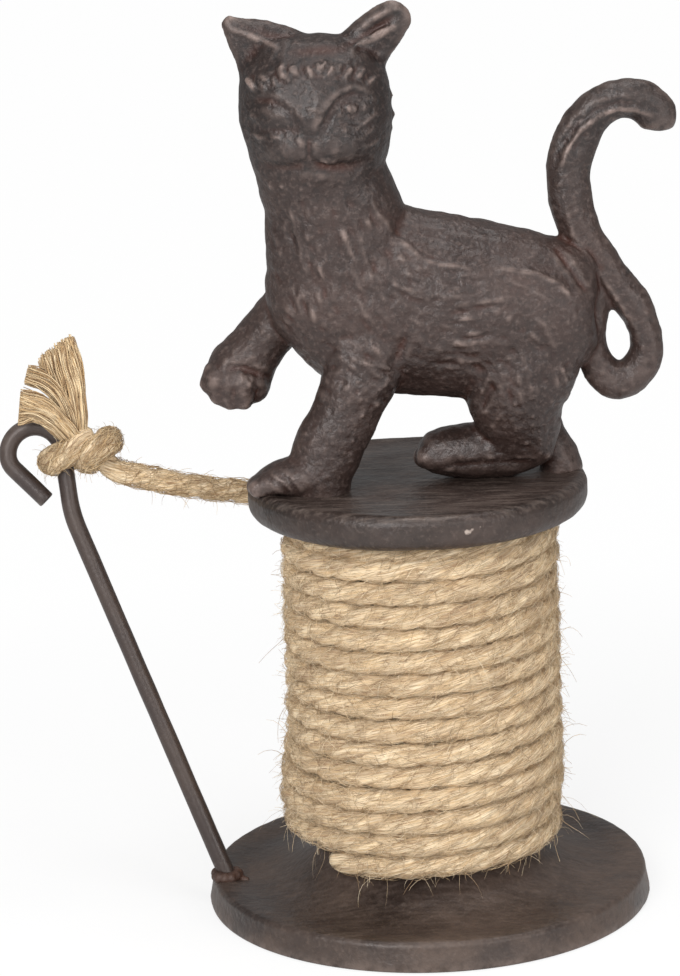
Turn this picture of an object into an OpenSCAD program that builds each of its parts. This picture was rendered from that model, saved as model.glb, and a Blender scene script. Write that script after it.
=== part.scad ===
// String holder: an iron cat on a round plate over a turning roll of rope, with a bent rod beside it.
// Millimetres, +Z up. Origin: middle of the base's underside. The cat faces -X and looks towards -Y.

/* [Base] */
// Diameter of the base across its foot
base_d = 110; // [106:1:130]
// Height of the base's upright rim
base_rim_h = 7.4; // [7:0.2:9]
// How far the rim leans in between its foot and its top
base_draft = 0.9; // [0.2:0.1:1.4]
// Radius of the rim's worn top edge
base_edge_r = 1.6; // [0.8:0.2:2]
// Depth of the dished top below the rim
base_dish = 0.4; // [0.2:0.1:0.8]
// Height of the hub that the post stands on
base_hub_h = 14.5; // [13:0.5:18]
// Diameter of the hub's flat top
base_hub_d = 54; // [48:1:60]
// Diameter of the recess under the base
recess_d = 40; // [30:1:46]
// Depth of the recess under the base
recess_h = 7.5; // [7:0.5:9]

/* [Post] */
// Diameter of the post that the roll turns on
post_d = 12; // [10.5:0.5:15]
// Diameter of the stud and of the spigot at the post's ends
stud_d = 8; // [6:0.5:9]
// Length of the spigot that centres the top plate
spigot_l = 6; // [4:0.5:7]
// Width of the nut across its flats
nut_af = 13; // [12.5:0.5:16]
// Height of the nut
nut_h = 5; // [3.5:0.5:5]
// Diameter of the washer over the nut
washer_d = 18; // [16:1:24]
// Thickness of the washer over the nut
washer_t = 1.6; // [1:0.2:1.8]
// Diameter of the ring that the roll turns on
thrust_d = 30; // [22:1:36]
// Thickness of the ring that the roll turns on
thrust_t = 1.5; // [1:0.25:2.5]

/* [Spool] */
// Length of the spool over its two flanges
spool_l = 82.5; // [70:0.5:95]
// Outside diameter of the spool's tube
tube_d = 44; // [38:1:46]
// Wall of the spool's tube
tube_wall = 2; // [1.5:0.25:3]
// Length of each bush with its flange
bush_l = 12; // [8:0.5:20]
// Thickness of each bush's flange
flange_t = 1.5; // [1:0.25:2.5]
// Gap left between the spool and the top plate
end_gap = 0.5; // [0.3:0.1:1]
// Running clearance round the post, on the radius
run_fit = 0.05; // [0.02:0.01:0.1]

/* [Rope] */
// Diameter of the rope as it lies in the roll
rope_d = 5.9; // [5:0.1:6.2]
// Gap between one row of rope and the next
row_gap = 0.6; // [0.45:0.05:1]
// Diameter of the rope where the knot pulls it tight
knot_rope_d = 3.2; // [3:0.1:3.6]

/* [Plate] */
// Diameter of the top plate
plate_d = 82.8; // [82:0.4:92]
// Thickness of the top plate
plate_t = 8.4; // [8:0.2:10]
// Radius of the plate's upper edge
plate_edge_r = 2.6; // [1.5:0.1:3.2]
// Radius of the plate's lower edge
plate_under_r = 4; // [3:0.1:4.4]
// Height of the ridge round the plate's top
plate_ridge = 0.4; // [0.2:0.1:0.8]
// Width of the ridge round the plate's top
plate_ridge_w = 2.4; // [1.6:0.2:4]

/* [Cat] */
// Height of the cat from the plate to the tip of its higher ear
cat_h = 116; // [100:1:122]
// Diameter of the screws that hold the cat
screw_d = 4; // [3:0.5:5]
// Length of screw inside the cat's paws
screw_grip = 6; // [4:0.5:7]
// Clearance of screws, studs and spigots in their holes, on the radius
slip_fit = 0.1; // [0.05:0.01:0.2]

/* [Hook] */
// Diameter of the rod
hook_d = 4.4; // [3.6:0.1:4.8]
// How far the rod's foot stands in from the base's edge
hook_inset = 4.4; // [4:0.1:8]
// Direction of the rod's foot round the base, in degrees
hook_turn = 185.5; // [175:0.5:195]
// Depth of the rod's seat in the base
hook_seat = 4; // [2:0.5:5]
// How far the rod leans back, in degrees
hook_lean = 11.6; // [9:0.2:13]
// How far the rod leans outwards at its foot, in degrees
hook_tilt = 21; // [19:0.5:23]
// Length of the rod's straight shank
hook_shank_l = 94.5; // [86:0.5:100]
// Radius of the slow bend above the shank
hook_ease_r = 30; // [24:1:50]
// Angle of the slow bend above the shank
hook_ease_a = 15; // [10:0.5:17]
// Length of the straight neck under the eye
hook_neck_l = 12; // [11:0.5:16]
// Radius of the eye over its top
hook_eye_r = 6.8; // [6.2:0.1:8]
// Radius of the eye towards its open end
hook_end_r = 5; // [4:0.1:8]
// Angle of the eye's last bend
hook_end_a = 44; // [38:1:50]
// Length of the straight tip after the eye
hook_tip_l = 10; // [7:0.5:11]
// Width of the weld bead at the rod's foot
weld_d = 6.8; // [6:0.2:8]
// Height of the weld bead at the rod's foot
weld_h = 3; // [2:0.2:4]

/* [Hidden] */
$fn = 96;

// Heights of the stacked pieces
spool_z = base_hub_h + thrust_t;
plate_z = spool_z + spool_l + end_gap;
plate_top = plate_z + plate_t;

// The base's dished top: an arc that rises from the dish to the hub
base_r = base_d / 2;
base_top_r = base_r - base_draft;
dish_r = base_r - 10;
hub_r = base_hub_d / 2;
dish_rise = base_hub_h - base_rim_h + base_dish;
dish_arc = (pow(dish_r - hub_r, 2) + pow(dish_rise, 2)) / (2 * dish_rise);
dish_out = acos((dish_arc - base_dish) / dish_arc);
dish_in = asin((dish_r - hub_r) / dish_arc);

// The rope: a plain inner layer, then one wound tube
rope_r = rope_d / 2;
ring_steps = 24;
tube_sides = 6;
core_r = tube_d / 2 + 0.96 * rope_d;
wind_r = (core_r + 0.02) / cos(180 / ring_steps) + rope_r;
wind_low = base_hub_h + rope_r;
wind_high = plate_z - 0.65 - rope_r;
row_pitch = rope_d * sin(60) + row_gap;
wind_rings = round((wind_high - wind_low) / row_pitch * ring_steps);
wind_start = 225;

// The rod's foot, and the ends of its bends in its own leaning plane
hook_foot_r = base_r - hook_inset;
hook_foot = [hook_foot_r * cos(hook_turn), hook_foot_r * sin(hook_turn), base_rim_h];
neck_a = hook_tilt - hook_ease_a;
shank_end = hook_shank_l * forward(hook_tilt);
neck_start = shank_end + hook_ease_r * (rightward(hook_tilt) - rightward(neck_a));
neck_end = neck_start + hook_neck_l * forward(neck_a);
eye_left = neck_end - hook_eye_r * (rightward(neck_a) - rightward(180));
tip_a = 180 + hook_end_a;
tip_start = eye_left - hook_end_r * (rightward(180) - rightward(tip_a));
hook_r = hook_d / 2;
rod_slack = 0.1;

// The knot: two tight turns on the neck and a lump beside them
knot_r = knot_rope_d / 2;
knot_turn_r = hook_r + slip_fit + knot_r;
knot_low = hook_neck_l - 6.2;
knot_step = knot_rope_d - 0.2;
knot_c = in_lean(neck_start + (knot_low + knot_step / 2) * forward(neck_a));
lump_c = knot_c + [9, -0.4, 1.6];

// Screws: one in the planted forepaw, one in the long hind foot
cat_k = cat_h / 116;
screw_at = [[-27, -11], [14, -2]];
screw_head_d = 2 * screw_d;
screw_head_h = 0.55 * screw_d;

// The free rope's route from the knot to the back of the roll
lead_route = [
  [-78.5, 16, 111],
  [-75.5, 16.5, 108.4],
  [-72, 17, 106.6],
  [-68, 17.5, 105.4],
  [-64, 18, 104.2],
  [-60, 18.8, 103],
  [-56, 19.6, 102],
  [-52, 20.4, 101.1],
  [-48, 21.3, 100.3],
  [-44, 22.3, 99.6],
  [-40, 23.7, 98.6],
  [-36, 25.3, 97.4],
  [-32, 27, 96.3],
  [-28, 28.5, 95.7],
  [-23, 30, 95.4]
];

// Frayed ends above the knot, from its middle: x, y, z, half width, half depth
tail_upper_rows = [
  [3.9, -1.6, 4, 2.2, 2.2],
  [3.3, -2.2, 9.5, 2.6, 2.2],
  [1.9, -1.6, 15, 3.3, 2.4],
  [0.4, -0.8, 21, 4.3, 2.8],
  [-0.6, -0.2, 26, 4.4, 2.6],
  [0.6, 0, 30.4, 1.8, 1.2]
];
tail_lower_rows = [
  [-0.2, -4.4, 2.5, 2, 1.9],
  [-0.9, -5, 7.6, 2.4, 2],
  [-4, -5.9, 10.8, 3.3, 2.3],
  [-8, -6.4, 12.3, 3.9, 2.2],
  [-11.2, -6.5, 12.7, 3, 1.6]
];

// The cat, above the plate's middle: x, y, z, half width in its side view, half thickness
torso_rows = [
  [-35, -2, 48, 3, 3],
  [-32, -2, 48, 11, 8],
  [-26, -2, 47.8, 16, 12],
  [-14, -2, 46, 23, 14],
  [2, -2, 43.4, 22.6, 14],
  [18, -2, 40.9, 21.6, 14],
  [32, -2, 39.5, 19, 13.5],
  [39, -2, 37, 15, 11.5],
  [42.5, -2, 36, 9, 8],
  [44, -2, 36, 2, 2]
];
neck_rows = [
  [-15, -2, 46, 19, 13],
  [-17, -3, 58, 17.8, 13],
  [-18.4, -4, 68, 16.4, 12.5],
  [-20.6, -5, 76, 15.4, 12.5],
  [-21, -6, 84, 17.2, 13.5],
  [-21.3, -6.5, 91, 18.1, 14],
  [-21.8, -6, 98, 17.6, 13],
  [-22.2, -5, 103.5, 16, 10.5],
  [-22, -4, 107, 12.5, 6.5],
  [-22, -3.5, 108.4, 6, 3]
];
ear_left_rows = [
  [-28, -5, 100, 10.4, 5.5],
  [-32, -6, 104.5, 9, 4],
  [-36.9, -6.8, 109, 5.5, 2.6],
  [-42, -7.2, 113.6, 1.4, 1]
];
ear_right_rows = [
  [-13.4, -5, 100, 8.6, 5.5],
  [-9.4, -6, 105.5, 6.6, 4],
  [-4.5, -6.8, 110.6, 5.3, 2.8],
  [-0.8, -7.2, 114, 4, 1.8],
  [0.4, -7.3, 115.2, 1.6, 0.8]
];
raised_leg_rows = [
  [-25, 2, 44, 10, 6],
  [-33, 4, 38.4, 7, 7.5],
  [-37.5, 4, 33.2, 6.8, 6.8],
  [-41.4, 3.5, 28, 8.2, 7.2],
  [-43.4, 3, 23.4, 8, 6.8],
  [-44.6, 3, 20.2, 5, 4.4],
  [-45, 3, 19.4, 1.5, 1.5]
];
planted_leg_rows = [
  [-8, -6, 46, 14, 8],
  [-10.5, -8, 36, 12, 8],
  [-13.4, -9.5, 27, 9.2, 7.5],
  [-17, -10, 18.6, 8.2, 7],
  [-20.9, -10.5, 11.5, 8.6, 6.8],
  [-23.4, -11, 5, 8, 6.6],
  [-24, -11, -1, 7.6, 6.6]
];
forepaw_rows = [
  [-18.5, -11, 5, 2.5, 3.5],
  [-24.5, -11, 4, 5.6, 7],
  [-32, -11, 3.6, 4.6, 7.2],
  [-37, -11, 2.6, 3.2, 6],
  [-39.6, -11, 1.6, 1.4, 3]
];
thigh_rows = [
  [28, -5, 46, 13, 7],
  [26.5, -6, 36, 15, 9],
  [25, -6, 27, 14.6, 9],
  [24.3, -5.5, 19, 12, 8.2],
  [25, -4, 12, 10, 7.2],
  [25, -3, 6, 8, 6]
];
hind_foot_rows = [
  [33, -2, 7.5, 3.5, 4],
  [30, -2, 7.5, 5.2, 6],
  [22, -2, 6.8, 7, 6.8],
  [13, -2, 6.4, 6.9, 7],
  [6, -2, 6.6, 5.8, 6.6],
  [2, -2, 7.4, 4.2, 5],
  [0.4, -2, 7.8, 1.5, 2]
];
far_leg_rows = [
  [30.5, 5, 26, 7.4, 6],
  [30.3, 5, 15, 5.2, 6],
  [31.8, 4.5, 8.4, 4.8, 6],
  [34.8, 4, 3, 5.2, 6.2],
  [35.4, 4, -1, 5.4, 6.2]
];
tail_loop_rows = [
  [37, 0, 53, 5, 4.6],
  [43, 0, 43, 4.8, 4.2],
  [43.4, 0, 33.5, 3.2, 4.2],
  [44.4, 0, 26.6, 4.2, 4.2],
  [47.6, 0, 22.6, 4.8, 4.4],
  [51.8, 0, 22.6, 4.6, 4.4],
  [55.4, 0, 26.4, 4.4, 4.4],
  [56.4, 0, 32, 4, 4.2],
  [53.6, 0, 40, 4.4, 4.2],
  [48.6, 0, 47.5, 4.4, 4]
];
tail_rise_rows = [
  [52.6, 0, 41, 4.2, 3.8],
  [48, 0, 48, 4.6, 4.2],
  [42.3, 0, 56.3, 4.8, 4.2],
  [39.2, 0, 64, 5.2, 4.2],
  [38.3, 0, 73, 5.5, 4.2],
  [40, 0, 80.6, 5.6, 4],
  [43.4, 0, 86.4, 5.2, 4],
  [48.6, 0, 90, 4.8, 3.8],
  [54, 0, 90.6, 4.8, 3.6],
  [58.4, 0, 88, 5.2, 3.4],
  [60, 0, 84.4, 4.6, 3],
  [60.3, 0, 82.6, 2, 1.6]
];

// Short rounded lumps on the cat: first end, second end, radius
cat_lumps = [
  [[-28, -17, 81.5], [-25.5, -18, 82], 4.6],
  [[-18.5, -18, 82.3], [-15.5, -17, 82], 4.8],
  [[-22.3, -20, 87], [-22, -16, 97], 2.8],
  [[-24, -16, 77.6], [-19, -16, 77.8], 3.4],
  [[-34, -15, 96], [-26, -18.6, 91.5], 2.2],
  [[-9, -15, 97.5], [-18, -18.6, 91.5], 2.2],
  [[-32, -15.6, 3], [-38.4, -14.4, 2], 2.4],
  [[-33, -12.2, 3.4], [-39, -12, 2.2], 2.3],
  [[-33, -8.8, 3.2], [-39, -9.4, 2], 2.2],
  [[-46.9, -1.5, 26.6], [-46.3, -0.5, 23.4], 2.7],
  [[-41.2, -2, 26], [-41.2, -1, 22.4], 3],
  [[8, -6, 5], [2.6, -5.2, 6], 3],
  [[8, -2, 5], [2, -2, 5.4], 3]
];

// Directions in the rod's leaning plane, from an angle left of upright
function forward(a) = [-sin(a), cos(a)];
function rightward(a) = [cos(a), sin(a)];
function in_lean(p) = hook_foot + [p.x, p.y * sin(hook_lean), p.y * cos(hook_lean)];

function arc_points(c, r, from, to, n) = [
  for (i = [0:n]) c + r * [cos(from + (to - from) * i / n), sin(from + (to - from) * i / n)]
];
function unit(v) = v / norm(v);

// A smooth run of rows through the given rows
function blend(a, b, c, d, t) =
  0.5 * (2 * b + (c - a) * t + (2 * a - 5 * b + 4 * c - d) * t * t + (3 * b - a - 3 * c + d) * t * t * t);
function smooth(rows, steps) = [
  for (i = [0:len(rows) - 2], s = [0:steps - 1])
    blend(rows[max(i - 1, 0)], rows[i], rows[i + 1], rows[min(i + 2, len(rows) - 1)], s / steps),
  rows[len(rows) - 1]
];
function place(row) = [row[0], row[1], row[2]];
function heading(rows, i) = unit(place(rows[min(i + 1, len(rows) - 1)]) - place(rows[max(i - 1, 0)]));

// An oval ring of points round a row, square to its heading
function ring(row, along, side, n) =
  let (v = unit(side - (side * along) * along), u = cross(v, along))
  [for (k = [0:n - 1]) place(row) + u * row[3] * cos(360 * k / n) + v * row[4] * sin(360 * k / n)];

// One turn after another of the wound rope, with a straight tube diameter at each end
function wind_point(i) =
  let (a = wind_start + i * 360 / ring_steps)
  [wind_r * cos(a), wind_r * sin(a), wind_low + (wind_high - wind_low) * i / wind_rings, rope_r, rope_r];
function wind_heading(i) =
  let (a = wind_start + i * 360 / ring_steps, rise = (wind_high - wind_low) / wind_rings * ring_steps / 360)
  unit([-wind_r * sin(a), wind_r * cos(a), rise * 180 / PI]);
function stretch(row, v) = [row[0] + v.x, row[1] + v.y, row[2] + v.z, row[3], row[4]];
wind_rows = [
  stretch(wind_point(0), -rope_d * wind_heading(0)),
  for (i = [0:wind_rings]) wind_point(i),
  stretch(wind_point(wind_rings), rope_d * wind_heading(wind_rings))
];
wind_ways = [wind_heading(0), for (i = [0:wind_rings]) wind_heading(i), wind_heading(wind_rings)];
wind_mesh = [for (i = [0:len(wind_rows) - 1]) ring(wind_rows[i], wind_ways[i], [0, 0, 1], tube_sides)];
wind_gap = min([
  for (i = [0:len(wind_mesh) - 1], j = [i + ring_steps - 1:1:min(i + ring_steps + 1, len(wind_mesh) - 1)])
    for (p = wind_mesh[i], q = wind_mesh[j]) norm(p - q)
]);
echo(winding_loops = wind_rings / ring_steps, winding_least_gap = wind_gap);

// The node to draw

// A closed skin over rings of points
module skin(rings) {
  n = len(rings[0]);
  m = len(rings);
  polyhedron(
    points = [for (r = rings, p = r) p],
    faces = concat(
      [[for (k = [0:n - 1]) k]],
      [
        for (i = [0:m - 2], k = [0:n - 1], half = [0, 1])
          half == 0
            ? [i * n + k, (i + 1) * n + k, (i + 1) * n + (k + 1) % n]
            : [i * n + k, (i + 1) * n + (k + 1) % n, i * n + (k + 1) % n]
      ],
      [[for (k = [n - 1:-1:0]) (m - 1) * n + k]]
    )
  );
}

// A limb through rows, oval in section
module limb(rows, n, steps = 2, side = [0, 1, 0]) {
  fine = smooth(rows, steps);
  skin([for (i = [0:len(fine) - 1]) ring(fine[i], heading(fine, i), side, n)]);
}

module base_blank() {
  rotate_extrude()
    polygon(concat(
      [[0, 0], [base_r - 0.6, 0], [base_r, 0.6]],
      arc_points([base_top_r - base_edge_r, base_rim_h - base_edge_r], base_edge_r, 0, 90, 6),
      arc_points([dish_r, base_rim_h - base_dish + dish_arc], dish_arc, dish_out - 90, -90 - dish_in, 18),
      [[0, base_hub_h]]
    ));
}

// The rod's frame at a point of its leaning plane
module on_rod(p, a) {
  translate(in_lean(p)) rotate([-hook_lean, 0, 0]) rotate([0, -a, 0]) children();
}

// Lengths of the rod, each stopping just short of the ball that joins it to the next
module straight(p, a, l) {
  on_rod(p + rod_slack * forward(a), a) cylinder(h = l - 2 * rod_slack, d = hook_d);
}

module bend(p, a, r, turn, way = 0) {
  trim = rod_slack / r * 180 / PI;
  on_rod(p, a) rotate([0, 0, way]) translate([-r, 0, 0]) rotate([90, 0, 0]) rotate([0, 0, trim])
    rotate_extrude(angle = turn - 2 * trim) translate([r, 0]) circle(d = hook_d);
}

module rod_ball(p) {
  translate(in_lean(p)) sphere(r = hook_r + 0.05);
}

module base_plate() {
  color("#3a302d")
    difference() {
      base_blank();
      translate([0, 0, -1]) cylinder(h = recess_h + 1, d = recess_d);
      cylinder(h = base_hub_h + 1, r = stud_d / 2 + slip_fit);
      on_rod([0, 0], hook_tilt) translate([0, 0, -hook_seat]) cylinder(h = hook_seat + 20, r = hook_r + 0.02);
    }
}

module hook_rod() {
  color("#4a4140") {
    straight(-hook_seat * forward(hook_tilt), hook_tilt, hook_seat + hook_shank_l);
    rod_ball(shank_end);
    bend(shank_end, hook_tilt, hook_ease_r, hook_ease_a, 180);
    rod_ball(neck_start);
    straight(neck_start, neck_a, hook_neck_l);
    rod_ball(neck_end);
    bend(neck_end, neck_a, hook_eye_r, 180 - neck_a);
    rod_ball(eye_left);
    bend(eye_left, 180, hook_end_r, hook_end_a);
    rod_ball(tip_start);
    straight(tip_start, tip_a, hook_tip_l);
  }
}

module hook_weld() {
  color("#6b4a3a")
    difference() {
      translate(hook_foot - [0, 0, 1.2]) cylinder(h = weld_h + 1.2, d1 = weld_d, d2 = hook_d + 0.8);
      base_blank();
      on_rod([0, 0], hook_tilt) translate([0, 0, -8]) cylinder(h = 30, r = hook_r + 0.02);
    }
}

module centre_post() {
  color("#8a8a8c") {
    translate([0, 0, recess_h - washer_t - nut_h - 0.4]) cylinder(h = base_hub_h, d = stud_d);
    translate([0, 0, base_hub_h]) cylinder(h = plate_z - base_hub_h, d = post_d);
    translate([0, 0, plate_z - 1]) cylinder(h = spigot_l + 1, d = stud_d);
  }
}

module post_washer() {
  color("#9a9a9c")
    translate([0, 0, recess_h - washer_t])
      difference() {
        cylinder(h = washer_t, d = washer_d);
        translate([0, 0, -1]) cylinder(h = washer_t + 2, r = stud_d / 2 + slip_fit);
      }
}

module post_nut() {
  color("#8f8f92")
    translate([0, 0, recess_h - washer_t - nut_h])
      difference() {
        cylinder(h = nut_h, d = nut_af / cos(30), $fn = 6);
        translate([0, 0, -1]) cylinder(h = nut_h + 2, r = stud_d / 2 + 0.02);
      }
}

module thrust_washer() {
  color("#d8d2c4")
    translate([0, 0, base_hub_h])
      difference() {
        cylinder(h = thrust_t, d = thrust_d);
        translate([0, 0, -1]) cylinder(h = thrust_t + 2, r = post_d / 2 + slip_fit);
      }
}

module spool_tube() {
  color("#b59a72")
    translate([0, 0, spool_z + flange_t])
      difference() {
        cylinder(h = spool_l - 2 * flange_t, d = tube_d);
        translate([0, 0, -1]) cylinder(h = spool_l, d = tube_d - 2 * tube_wall);
      }
}

// A flanged plug for the tube, flange down
module bush() {
  difference() {
    union() {
      cylinder(h = flange_t, d = tube_d);
      cylinder(h = bush_l, d = tube_d - 2 * tube_wall);
    }
    translate([0, 0, -1]) cylinder(h = bush_l + 2, r = post_d / 2 + run_fit);
  }
}

module lower_bush() {
  color("#c9b48c")
    translate([0, 0, spool_z]) bush();
}

module upper_bush() {
  color("#c9b48c")
    translate([0, 0, spool_z + spool_l]) rotate([180, 0, 0]) bush();
}

module rope_core() {
  color("#9c7a4c")
    translate([0, 0, spool_z])
      difference() {
        cylinder(h = spool_l, r = core_r);
        translate([0, 0, -1]) cylinder(h = spool_l + 2, d = tube_d);
      }
}

module rope_winding() {
  color("#b8935a")
    skin(wind_mesh);
}

module rope_lead() {
  color("#b8935a")
    limb([for (p = lead_route) [p.x, p.y, p.z, rope_r, rope_r]], 10, 1, [0, 0, 1]);
}

module rope_knot() {
  color("#b08a52") {
    on_rod(neck_start + knot_low * forward(neck_a), neck_a)
      rotate_extrude() {
        translate([knot_turn_r, 0]) circle(r = knot_r);
        translate([knot_turn_r, knot_step]) circle(r = knot_r);
      }
    translate(lump_c) sphere(d = 1.75 * rope_d);
  }
}

module tail_upper() {
  color("#c4a56e")
    translate(knot_c) limb(tail_upper_rows, 10);
}

module tail_lower() {
  color("#c4a56e")
    translate(knot_c) limb(tail_lower_rows, 10);
}

module top_plate() {
  r = plate_d / 2;
  color("#3a302d")
    difference() {
      translate([0, 0, plate_z])
        rotate_extrude()
          polygon(concat(
            [[0, 0]],
            arc_points([r - plate_under_r, plate_under_r], plate_under_r, -90, 0, 8),
            arc_points([r - plate_edge_r, plate_t + plate_ridge - plate_edge_r], plate_edge_r, 0, 90, 6),
            [[r - plate_edge_r - plate_ridge_w, plate_t], [0, plate_t]]
          ));
      translate([0, 0, plate_z - 1]) cylinder(h = spigot_l + 1.4, r = stud_d / 2 + slip_fit);
      for (p = screw_at)
        translate([cat_k * p.x, cat_k * p.y, plate_z]) {
          translate([0, 0, -1]) cylinder(h = plate_t + 3, r = screw_d / 2 + slip_fit);
          cylinder(h = screw_head_h, d1 = screw_head_d, d2 = screw_d);
        }
    }
}

// Room for the plate's ridge under paws that reach out to it, from the plate's top
module over_ridge() {
  r = plate_d / 2;
  top = plate_ridge + 0.02;
  rotate_extrude()
    polygon([
      [r - plate_edge_r - plate_ridge_w - 0.2, -1],
      [r - plate_edge_r - plate_ridge_w - 0.2, 0],
      [r - plate_edge_r - 0.2, top],
      [r + 30, top],
      [r + 30, -1]
    ]);
}

module cat_figure() {
  color("#3a302d")
    translate([0, 0, plate_top])
      difference() {
        scale(cat_k) {
          limb(torso_rows, 18);
          limb(neck_rows, 18);
          limb(ear_left_rows, 10);
          limb(ear_right_rows, 10);
          limb(raised_leg_rows, 12);
          limb(planted_leg_rows, 12);
          limb(forepaw_rows, 12);
          limb(thigh_rows, 14);
          limb(hind_foot_rows, 12);
          limb(far_leg_rows, 12);
          limb(tail_loop_rows, 12);
          limb(tail_rise_rows, 12);
          for (l = cat_lumps)
            hull() {
              translate(l[0]) sphere(r = l[2], $fn = 10);
              translate(l[1]) sphere(r = l[2], $fn = 10);
            }
        }
        translate([-100, -100, -50]) cube([200, 200, 50]);
        over_ridge();
        for (p = screw_at)
          translate([cat_k * p.x, cat_k * p.y, -1])
            cylinder(h = screw_grip + 1.5, r = screw_d / 2 + slip_fit, $fn = 24);
      }
}

module cat_screws() {
  color("#77777a")
    for (p = screw_at)
      translate([cat_k * p.x, cat_k * p.y, plate_z]) {
        cylinder(h = screw_head_h, d1 = screw_head_d, d2 = screw_d);
        cylinder(h = plate_t + screw_grip, d = screw_d);
      }
}

base_plate();
hook_rod();
hook_weld();
centre_post();
post_washer();
post_nut();
thrust_washer();
spool_tube();
lower_bush();
upper_bush();
rope_core();
rope_winding();
rope_lead();
rope_knot();
tail_upper();
tail_lower();
top_plate();
cat_figure();
cat_screws();
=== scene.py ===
import math
import random

import bmesh
import bpy
import numpy as np
from mathutils import Matrix, Vector, noise


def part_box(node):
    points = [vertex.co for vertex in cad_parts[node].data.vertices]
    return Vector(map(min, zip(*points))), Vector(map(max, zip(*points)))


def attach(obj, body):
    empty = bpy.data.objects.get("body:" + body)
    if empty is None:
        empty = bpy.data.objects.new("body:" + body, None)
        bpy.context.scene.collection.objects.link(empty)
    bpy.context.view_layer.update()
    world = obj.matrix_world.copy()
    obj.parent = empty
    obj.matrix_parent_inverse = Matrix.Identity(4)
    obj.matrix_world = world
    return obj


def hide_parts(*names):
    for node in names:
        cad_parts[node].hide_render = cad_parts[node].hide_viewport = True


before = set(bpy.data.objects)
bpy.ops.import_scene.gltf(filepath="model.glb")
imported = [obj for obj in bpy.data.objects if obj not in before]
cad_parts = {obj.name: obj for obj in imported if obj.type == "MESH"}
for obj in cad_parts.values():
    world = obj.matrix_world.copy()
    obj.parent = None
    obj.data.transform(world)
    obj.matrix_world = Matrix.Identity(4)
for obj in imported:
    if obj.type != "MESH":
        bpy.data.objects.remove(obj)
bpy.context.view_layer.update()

MM = 0.001


def foot_of(node):
    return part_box(node)[0] / MM


def top_of(node):
    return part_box(node)[1] / MM


# Sizes of the real thing in millimetres: the main ones from the solids, then those of the castings' edges
BASE_R, BASE_HUB_H = round(top_of("base_plate").y), top_of("base_plate").z
BASE_RIM, BASE_HUB_R, BASE_DISH, BASE_EDGE, BASE_DRAFT = 7.4, 27.0, 0.4, 1.6, 0.9
RECESS_R, RECESS_H, STUD_R = 20.0, 7.5, 4.1
PLATE_R, PLATE_Z = round(top_of("top_plate").y, 1), foot_of("top_plate").z
PLATE_TOP = foot_of("cat_figure").z
PLATE_UNDER, PLATE_EDGE, PLATE_RIDGE, PLATE_RIDGE_W, PLATE_BORE = 4.0, 2.6, 0.4, 2.4, 6.4
ROPE_D, ROPE_LAY, ROW_PITCH, ROLL_CLEAR = 5.9, 25.0, 5.71, 0.65
ROLL_R = top_of("rope_winding").y - ROPE_D / 2
ROLL_LOW, ROLL_HIGH = BASE_HUB_H + ROPE_D / 2, PLATE_Z - ROLL_CLEAR - ROPE_D / 2
ROLL_START = 225.0
ROD_R, ROD_LEAN, ROD_TILT, ROD_INSET, ROD_ROUND = 2.2, 11.6, 21.0, 4.4, 185.5
KNOT = Vector((-87.1, 16.2, 111.4))


# The camera stands where the photograph was taken, a little above the cat and turned by two degrees

def set_camera():
    aim, away, lens, sensor = Vector((-18.9, 0, 105.1)), 852.4, 128.94, 36
    height, roll = math.radians(14.486), math.radians(2.091)
    ahead = Vector((0, math.cos(height), -math.sin(height)))
    up = Vector((0, math.sin(height), math.cos(height)))
    side = Vector((1, 0, 0))
    across = side * math.cos(roll) - up * math.sin(roll)
    above = side * math.sin(roll) + up * math.cos(roll)
    camera = bpy.data.objects.new("camera", bpy.data.cameras.new("camera"))
    bpy.context.scene.collection.objects.link(camera)
    turn = Matrix((across, above, -ahead)).transposed().to_4x4()
    camera.matrix_world = Matrix.Translation((aim - ahead * away) * MM) @ turn
    camera.data.lens, camera.data.sensor_width = lens, sensor
    camera.data.clip_start, camera.data.clip_end = 0.05, 30
    bpy.context.scene.camera = camera


set_camera()


# Materials: one function for colours, one that adds a node

def colour(code):
    """A written sRGB colour as linear light."""
    parts = [int(code[i:i + 2], 16) / 255 for i in (1, 3, 5)]
    return [p / 12.92 if p <= 0.04045 else ((p + 0.055) / 1.055) ** 2.4 for p in parts] + [1]


def add(tree, kind, inputs=None, **settings):
    """A node with its settings; each input is a value or the socket that feeds it."""
    node = tree.nodes.new(kind)
    for name, value in settings.items():
        setattr(node, name, value)
    for key, value in (inputs or {}).items():
        if isinstance(value, bpy.types.NodeSocket):
            tree.links.new(value, node.inputs[key])
        else:
            node.inputs[key].default_value = value
    return node


def new_material(name, **constants):
    """An empty material with its shader, whose plain values sit on the shader itself."""
    made = bpy.data.materials.new(name)
    made.use_nodes = True
    shader = made.node_tree.nodes["Principled BSDF"]
    for key, value in constants.items():
        shader.inputs[key.replace("_", " ").title().replace("Ior", "IOR")].default_value = value
    return made, made.node_tree, shader


MIX_A, MIX_B, MIXED = 6, 7, 2
PER_MM = 1 / MM
# The darkest wax colour: in the pits, and as painted shade on the figure's head
PIT_WAX_AND_HEAD_SHADE, BARE_METAL, CHIP_METAL = "#1c1412", "#7f746e", "#a3948a"
# Heights over which the figure's head is painted darker: painted shade
HEAD_SHADE_FROM, HEAD_SHADE_FULL = PLATE_TOP + 66, PLATE_TOP + 82
RIM_CHIP, RIM_CHIP_SIZE, WIPED_EDGE = (11.6, -41.3, 104), (3.4, 3.4, 1.0), 1.5


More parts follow.
